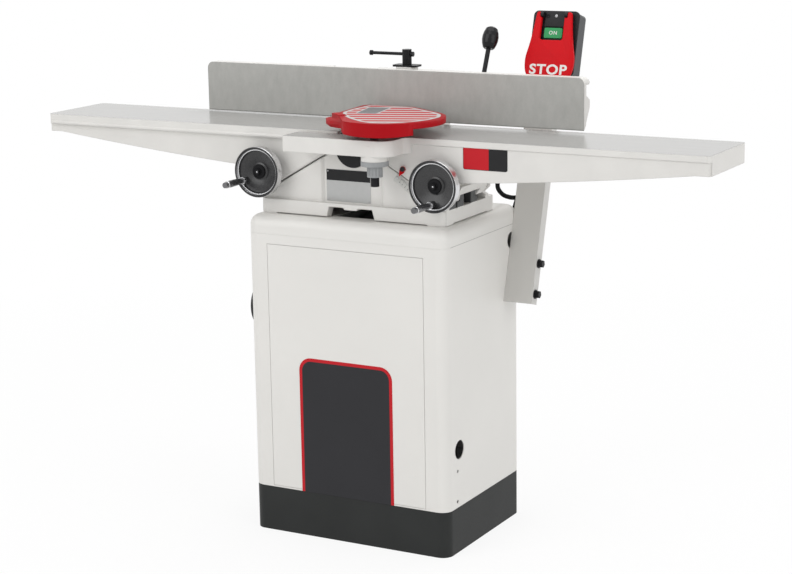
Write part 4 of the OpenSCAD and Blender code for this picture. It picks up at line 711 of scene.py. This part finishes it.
def addPanelSign(spec):
    left, right = spec["x"]
    low, high = spec["z"]
    width, height, middle = right - left, high - low, (left + right) / 2
    y = spec["y"] - lift
    bm = slab(width, height, spec["thick"], (spec["corner"], 0))
    finishPiece(bm, "panelBorder", ("signRed", "stand", "guard_paint"), at(middle, y, (low + high) / 2))
    rim = spec["border"]
    bm = slab(width - 2 * rim, height - rim, spec["thick"], (spec["corner"] - rim, 0))
    inner = at(middle, y - spec["thick"] * spec["sunk"], (low + high - rim) / 2)
    finishPiece(bm, "panelField", ("panelDark", "stand", "dark_paint"), inner)


addPanelSign(panelSign)


# painted shade: thin grey strips for the shade line under the rolled top, where it meets the cabinet's sides
seamShadeSpec = {"x": 216, "z": 598, "long": 276, "tall": 0.9, "thick": 0.12}


def addSeamShades(spec):
    for index, side in enumerate((1, -1)):
        bm = slab(spec["long"], spec["tall"], spec["thick"])
        lie = at(side * (spec["x"] + lift), 0, spec["z"]) @ turnedAbout("Z", 90 * side)
        finishPiece(bm, f"standSeam{index}", ("seamGrey", "stand", "white_paint"), lie)


addSeamShades(seamShadeSpec)


# data plate on the base, bare, with a dark band and four rivets
dataPlate = {
    "x": (-58, 38), "z": (664.5, 726), "y": -117, "thick": 0.7, "corner": 1.2, "ease": 0.1,
    "band": 21, "bandRim": 0.5, "bandThick": 0.2, "bandCorner": 0.8, "bandLift": 0.01,
    "rivetIn": (3.5, 4), "rivetLift": 0.05, "rivetSides": 16,
    "rivet": [(0, 1.3), (0.9, 1.1), (1.5, 0.6), (1.7, 0), (0, 0)],
}


def addDataPlate(spec):
    left, right = spec["x"]
    low, high = spec["z"]
    middle, corner, rim = (left + right) / 2, spec["corner"], spec["bandRim"]
    front = spec["y"] - spec["thick"]
    bm = slab(right - left, high - low, spec["thick"], (corner, corner), spec["ease"])
    lie = at(middle, spec["y"] - lift, (low + high) / 2)
    finishPiece(bm, "dataPlate", ("plateSilver", "stand", "bright_steel"), lie)
    bm = slab(right - left - 2 * rim, spec["band"], spec["bandThick"], (spec["bandCorner"], 0))
    lie = at(middle, front - spec["bandLift"], high - rim - spec["band"] / 2)
    finishPiece(bm, "dataBand", ("plateBlack", "stand", "dark_steel"), lie)
    inX, inZ = spec["rivetIn"]
    places = [(x, z) for z in (high - inZ, low + inZ) for x in (left + inX, right - inX)]
    for index, (x, z) in enumerate(places):
        lie = at(x, front - spec["rivetLift"], z) @ facingFront
        rivet = turned(spec["rivet"], spec["rivetSides"])
        finishPiece(rivet, f"plateRivet{index}", ("turnedSteel", "stand", "bright_steel"), lie)


addDataPlate(dataPlate)


# badge on the infeed apron, bare: a red part and a dark part
sideBadge = {"x": (239, 328.5), "z": (745, 788.6), "split": 291, "corner": 4, "y": -128, "thick": 0.5,
             "rim": 0.8, "redThick": 0.15, "redLift": 0.01, "redSteps": 6, "through": 0.1}


def addSideBadge(spec):
    left, right = spec["x"]
    low, high = spec["z"]
    corner, rim, middle = spec["corner"], spec["rim"], (low + high) / 2
    bm = slab(right - left, high - low, spec["thick"], (corner, corner))
    lie = at((left + right) / 2, spec["y"] - lift, middle)
    finishPiece(bm, "badgeBack", ("plateBlack", "infeed", "dark_steel"), lie)
    bm = slab(spec["split"] - left - rim, high - low - 2 * rim, spec["redThick"])
    leftEnd = [edge for edge in bm.edges if all(vert.co.x < 0 for vert in edge.verts)
               and abs(edge.verts[0].co.y - edge.verts[1].co.y) > spec["through"] * mm]
    eased(bm, leftEnd, corner - rim, spec["redSteps"])
    lie = at((left + rim + spec["split"]) / 2, spec["y"] - spec["thick"] - spec["redLift"], middle)
    finishPiece(bm, "badgeRed", ("signRed", "infeed", "guard_paint"), lie)


addSideBadge(sideBadge)


# stop paddle: a plate that hangs on two eyes, narrow beside the button and wide and round at its foot
paddleSpec = {
    "middle": 59, "back": -42, "thick": 7, "ease": 1.6, "easeSteps": 3, "smooth": 40,
    "half": [(43, 430, 16), (53.5, 463, 17), (42.5, 510, 20), (36, 563, 4), (28.3, 563, 3.5),
             (28.3, 552, 0)],
    "notch": {"left": -25.5, "right": 22.5, "top": 552, "floor": 508, "corner": 5},
    "pins": [(23, 32.5), (82.5, 92)], "pinPlace": (-45.5, 558), "pinRadius": 2, "pinEase": 0.3,
    "pinSides": 20,
}


def addPaddle(spec):
    look = ("paddleRed", "paddle", "red_plastic")
    notch = spec["notch"]
    outline = [(-x, z, ease) for x, z, ease in spec["half"]]
    for side in ("left", "right"):
        edge = [(notch[side], notch["top"], 0), (notch[side], notch["floor"], notch["corner"])]
        outline += edge if side == "left" else edge[::-1]
    outline += spec["half"][::-1]
    bm = bmesh.new()
    middle, back = spec["middle"], spec["back"]
    corners = [bm.verts.new(((middle + x) * mm, back * mm, z * mm)) for x, z, ease in outline]
    bm.faces.new(corners)
    for vert, (x, z, ease) in zip(corners, outline):
        if ease > 0:
            eased(bm, [vert], ease, cornerSteps, "VERTICES")
    drawnOut(bm, 0, -spec["thick"], 0)
    eased(bm, frontEdges(bm, back - frontShare * spec["thick"]), spec["ease"], spec["easeSteps"])
    paddle = finishPiece(bm, "stopPaddle", look, armFrame, spec["smooth"])
    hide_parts("stop_paddle")
    y, z = spec["pinPlace"]
    radius, ease = spec["pinRadius"], spec["pinEase"]
    for index, (start, end) in enumerate(spec["pins"]):
        long = end - start
        pin = turned([(0, long), (radius - ease, long), (radius, long - ease), (radius, ease),
                      (radius - ease, 0), (0, 0)], spec["pinSides"])
        finishPiece(pin, f"paddlePin{index}", look, armFrame @ at(start, y, z) @ alongX)


addPaddle(paddleSpec)


# words on the switch
wordSpec = {
    "stopWord": {"text": "STOP", "size": 26.5, "middle": (59.2, 449.5), "y": -49, "depth": 0.3,
                 "bold": 0.028, "stretch": 1.16, "spacing": 1.1,
                 "look": ("signWhite", "paddle", "red_plastic")},
    "onWord": {"text": "ON", "size": 10, "middle": (57.5, 523), "y": -40.5, "depth": 0.2, "bold": 0.008,
               "stretch": 1.05, "spacing": 1.15, "look": ("signWhite", "button", "green_plastic")},
}


def addWord(name, spec, lie):
    curve = bpy.data.curves.new(name, "FONT")
    curve.body = spec["text"]
    curve.size = spec["size"] * mm
    curve.align_x = "CENTER"
    curve.align_y = "CENTER"
    curve.extrude = spec["depth"] * mm / 2
    curve.space_character = spec["spacing"]
    curve.offset = spec["size"] * mm * spec["bold"]
    holder = bpy.data.objects.new(name + "Curve", curve)
    scene.collection.objects.link(holder)
    bpy.context.view_layer.update()
    mesh = bpy.data.meshes.new_from_object(holder.evaluated_get(bpy.context.evaluated_depsgraph_get()))
    bpy.data.objects.remove(holder)
    mesh.name = name
    x, z = spec["middle"]
    wide = Matrix.Diagonal((spec["stretch"], 1, 1, 1))
    mesh.transform(lie @ at(x, spec["y"] - spec["depth"] / 2 - lift, z) @ facingFront @ wide)
    finish, body, slot = spec["look"]
    mesh.materials.clear()
    mesh.materials.append(materials[finish])
    addPiece(mesh, name, body)


for name, spec in wordSpec.items():
    addWord(name, spec, armFrame)
print("signs and words placed")


# guard: the casting with a thinner rim, and a skirt whose lower edge curves up towards both ends
guardSpec = {"rim": (815, 821), "skirt": (800, 806), "same": 0.1, "tab": (30, -100),
             "boss": (78.7, -172, 20), "low": 110, "ends": ((100, 3), (65, 5))}


def addGuard(spec):
    bm = bmesh.new()
    bm.from_mesh(nodes["guard_casting"].data)
    tabX, tabY = spec["tab"]
    bossX, bossY, bossRadius = spec["boss"]
    rim, thinRim = spec["rim"]
    skirt, highSkirt = spec["skirt"]
    for vert in bm.verts:
        x, y, z = vert.co / mm
        onTab = x < tabX and y < tabY
        if abs(z - rim) < spec["same"] and not onTab:
            vert.co.z = thinRim * mm
        if abs(z - skirt) < spec["same"]:
            onBoss = math.hypot(x - bossX, y - bossY) < bossRadius
            reach, rise = spec["ends"][0 if x < spec["low"] else 1]
            curl = 0 if onBoss else rise * ((x - spec["low"]) / reach) ** 2
            vert.co.z = (highSkirt + curl) * mm
    guard = finishPiece(bm, "guardCover", ("guardRed", "guard", "guard_paint"))
    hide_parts("guard_casting")


addGuard(guardSpec)


planSteps = 5


# flat piece from a plan outline, corners rounded, drawn up from a height
def plate(outline, corner, low, thick, shrink=0.0):
    bm = bmesh.new()
    bm.faces.new([bm.verts.new((x * mm, y * mm, low * mm)) for x, y in outline])
    eased(bm, list(bm.verts), corner, planSteps, "VERTICES")
    if shrink > 0:
        rim = bmesh.ops.inset_region(bm, faces=list(bm.faces), thickness=shrink * mm, use_boundary=True,
                                     use_even_offset=True)
        bmesh.ops.delete(bm, geom=rim["faces"], context="FACES")
    drawnOut(bm, 0, 0, thick)
    return bm


# sign on top of the guard: a pale edge, a striped field and a bare patch with its own edge
guardSign = {
    "top": 832,
    "field": {"corner": 9, "outline": [
        (-35, 17), (52, 17), (112, -21), (137, -37), (157, -56), (172, -88), (171, -126), (159, -160),
        (141, -184), (118, -201), (91, -208), (62, -196), (24, -167), (-9, -134), (-31, -97), (-37, -53)]},
    "patch": {"corner": 6, "outline": [(-22, -14), (24, -4), (42, -96), (-2, -104)]},
    "layers": {     # plan, lift, thickness, edge left free, finish and slot
        "guardSignEdge": ("field", 0.02, 0.2, 0, "signGrey", "guard_paint"),
        "guardSignField": ("field", 0.15, 0.15, 7, "guardStripes", "guard_paint"),
        "guardPatchEdge": ("patch", 0.22, 0.16, 0, "signGrey", "guard_paint"),
        "guardPatch": ("patch", 0.3, 0.16, 3.5, "patchGrey", "dark_paint"),
    },
}


def addGuardSign(spec):
    for name, (plan, up, thick, edge, finish, slot) in spec["layers"].items():
        bm = plate(spec[plan]["outline"], spec[plan]["corner"], spec["top"] + up, thick, edge)
        finishPiece(bm, name, (finish, "guard", slot))


addGuardSign(guardSign)


# depth scale on the base with its ticks, figures and screw
depthScale = {
    "middle": (112, 707.5), "angle": -36, "long": 44, "wide": 15, "thick": 0.8, "y": -122, "corner": 1.5,
    "ease": 0.15, "inkLift": 0.01, "ticks": 17, "longEvery": 4, "start": 13, "ends": 16, "top": 1,
    "tick": {"wide": 0.45, "long": 5.0, "short": 2.8, "thick": 0.06},
    "figures": "01234", "figure": {"size": 4.4, "depth": 0.06, "bold": 0.01, "stretch": 1.0, "spacing": 1.0,
                                   "look": ("tickInk", "stand", "dark_steel")},
    "figureZ": -2.6, "screwPlace": (-18, 1.5), "screwSides": 20,
    "screw": [(0, 1.6), (1.4, 1.5), (2.4, 0.9), (2.7, 0), (0, 0)],
}


def addDepthScale(spec):
    x, z = spec["middle"]
    lie = at(x, spec["y"] - lift, z) @ turnedAbout("Y", -spec["angle"])
    long, wide, tick = spec["long"], spec["wide"], spec["tick"]
    bm = slab(long, wide, spec["thick"], (spec["corner"], spec["corner"]), spec["ease"])
    finishPiece(bm, "depthPlate", ("scalePale", "stand", "bright_steel"), lie)
    face = -spec["thick"] - spec["inkLift"]
    start = -long / 2 + spec["start"]
    step = (long - spec["ends"]) / (spec["ticks"] - 1)
    inked = bmesh.new()
    for index in range(spec["ticks"]):
        tall = tick["short"] if index % spec["longEvery"] else tick["long"]
        bm = slab(tick["wide"], tall, tick["thick"])
        place = at(start + index * step, face, wide / 2 - spec["top"] - tall / 2)
        bmesh.ops.transform(bm, matrix=place, verts=bm.verts)
        mesh = bpy.data.meshes.new("tick")
        bm.to_mesh(mesh)
        bm.free()
        inked.from_mesh(mesh)
        bpy.data.meshes.remove(mesh)
    finishPiece(inked, "depthTicks", ("tickInk", "stand", "dark_steel"), lie)
    for index, text in enumerate(spec["figures"]):
        middle = (start + index * step * spec["longEvery"], spec["figureZ"])
        figure = {**spec["figure"], "text": text, "middle": middle, "y": face + lift}
        addWord(f"depthFigure{text}", figure, lie)
    screwX, screwZ = spec["screwPlace"]
    lie = lie @ at(screwX, face, screwZ) @ facingFront
    screw = turned(spec["screw"], spec["screwSides"])
    finishPiece(screw, "depthScrew", ("turnedSteel", "stand", "bright_steel"), lie)


addDepthScale(depthScale)


# screw that holds the depth pointer
pointerScrew = {
    "place": (114.8, -130.1, 737.5), "sides": 14, "smooth": 20,
    "profile": [(0, 5.2), (3.4, 5.2), (4.3, 4.6), (4.6, 4.0), (4.6, 0.4), (4.2, 0), (0, 0)],
}
finishPiece(turned(pointerScrew["profile"], pointerScrew["sides"]), "pointerScrew",
            ("blackMoulding", "infeed", "black_plastic"), at(*pointerScrew["place"]) @ facingFront,
            pointerScrew["smooth"])


# handwheels: a stepped hub cap with its bolt, a raised ring on the web, and bright rings on the grips
wheelSpec = {
    "infeed": {"middle": (192.66, 713.996), "stud": 264,
               "wheel": "infeed_crank", "grip": "infeed_handle"},
    "outfeed": {"middle": (-187.463, 716.996), "stud": 211,
                "wheel": "outfeed_crank", "grip": "outfeed_handle"},
}
wheelShape = {
    "y": -142, "studRadius": 33.5, "boltUp": 14.4, "boltAcross": 9, "boltHigh": 4.2, "boltSmooth": 20,
    "mark": [(0, 18.75), (1.3, 18.75), (1.6, 18.6), (0, 18.6)], "markSides": 16,
    "turned": {
        "Hub": ("hubBlack", "wheel", "black_plastic", [
            (0, 14.6), (6.5, 14.6), (7.2, 13.8), (7.4, 12.9), (12.6, 12.7), (13.6, 11.9), (14.2, 9.6),
            (13.2, 9.0), (0, 9.0)]),
        "WebRing": ("chrome", "wheel", "chrome", [
            (41.6, 16.6), (42.0, 17.6), (42.8, 18.0), (43.6, 17.9), (43.8, 17.2), (42.6, 16.6),
            (41.6, 16.6)]),
        "Ferrule": ("chrome", "grip", "chrome", [
            (5.2, 21.2), (6.5, 21.2), (7.0, 21.8), (7.0, 26.4), (6.5, 27.2), (5.2, 27.2), (5.2, 21.2)]),
        "EndRing": ("chrome", "grip", "chrome", [
            (5.2, 77.0), (6.6, 77.0), (6.9, 77.5), (6.9, 79.6), (6.5, 80.2), (5.2, 80.2), (5.2, 77.0)]),
    },
}


def hexHead(across, high, ease=0.5):
    bm = bmesh.new()
    radius = across / math.sqrt(3) * mm
    bmesh.ops.create_cone(bm, cap_ends=True, segments=6, radius1=radius, radius2=radius, depth=high * mm)
    bmesh.ops.translate(bm, vec=(0, 0, high / 2 * mm), verts=bm.verts)
    crown = [edge for edge in bm.edges if all(vert.co.z > high * frontShare * mm for vert in edge.verts)]
    eased(bm, crown, ease, edgeSteps)
    return bm


def addWheelParts(name, spec, shape):
    x, z = spec["middle"]
    face = at(x, shape["y"], z) @ facingFront
    turn = math.radians(spec["stud"])
    radius = shape["studRadius"]
    stud = face @ at(radius * math.cos(turn), radius * math.sin(turn), 0)
    for part, (finish, body, slot, profile) in shape["turned"].items():
        lie = stud if body == "grip" else face
        finishPiece(turned(profile), name + part, (finish, spec[body], slot), lie)
    bolt = hexHead(shape["boltAcross"], shape["boltHigh"])
    finishPiece(bolt, name + "HubBolt", ("darkSteel", spec["wheel"], "dark_steel"),
                face @ at(0, 0, shape["boltUp"]), shape["boltSmooth"])
    mark = turned(shape["mark"], shape["markSides"])
    finishPiece(mark, name + "BoltMark", ("turnedSteel", spec["wheel"], "bright_steel"), face)


for name, spec in wheelSpec.items():
    addWheelParts(name, spec, wheelShape)


# hexagon heads of the arm's bolts
armBolt = {"x": 62, "back": 12, "up": (20, 80), "across": 13.4, "high": 8.3, "ease": 0.9, "smooth": 20}
for index, up in enumerate(armBolt["up"]):
    finishPiece(hexHead(armBolt["across"], armBolt["high"], armBolt["ease"]), f"armBoltHead{index}",
                ("darkSteel", "stand", "dark_steel"),
                armFrame @ at(armBolt["x"], armBolt["back"], up) @ alongX, armBolt["smooth"])


# block above the start button, with its key socket and a cross-head screw
switchBlock = {
    "x": (37.6, 80.4), "z": (535, 566), "y": -36, "thick": 5.2, "corners": (3, 2), "ease": 0.8,
    "sides": 24, "round": {
        "switchSocket": ((43.5, 556), ("darkSteel", "stand", "dark_steel"), [
            (1.6, 0.2), (2.2, 1.1), (3.2, 1.2), (3.8, 0.8), (4.0, 0), (1.6, 0), (1.6, 0.2)]),
        "switchScrew": ((61, 556), ("turnedSteel", "stand", "bright_steel"), [
            (0, 1.3), (1.8, 1.2), (2.8, 0.7), (3.1, 0), (0, 0)]),
    },
    "notch": {"place": (61, 556), "size": (3.8, 0.7, 0.08), "out": 1.28, "angles": (35, 125)},
}


def addSwitchBlock(spec):
    left, right = spec["x"]
    low, high = spec["z"]
    bm = slab(right - left, high - low, spec["thick"], spec["corners"], spec["ease"])
    lie = armFrame @ at((left + right) / 2, spec["y"] - lift, (low + high) / 2)
    finishPiece(bm, "switchBlock", ("bezelBlack", "stand", "black_plastic"), lie)
    front = spec["y"] - spec["thick"] - lift
    for name, ((x, z), look, profile) in spec["round"].items():
        finishPiece(turned(profile, spec["sides"]), name, look, armFrame @ at(x, front, z) @ facingFront)
    # the screw's cross slot: two thin dark slabs, painted shade of the recess
    notch = spec["notch"]
    x, z = notch["place"]
    for index, angle in enumerate(notch["angles"]):
        lie = armFrame @ at(x, front - notch["out"], z) @ turnedAbout("Y", angle)
        finishPiece(slab(*notch["size"]), f"screwNotch{index}", ("tickInk", "stand", "dark_steel"), lie)


addSwitchBlock(switchBlock)
print("small parts placed")
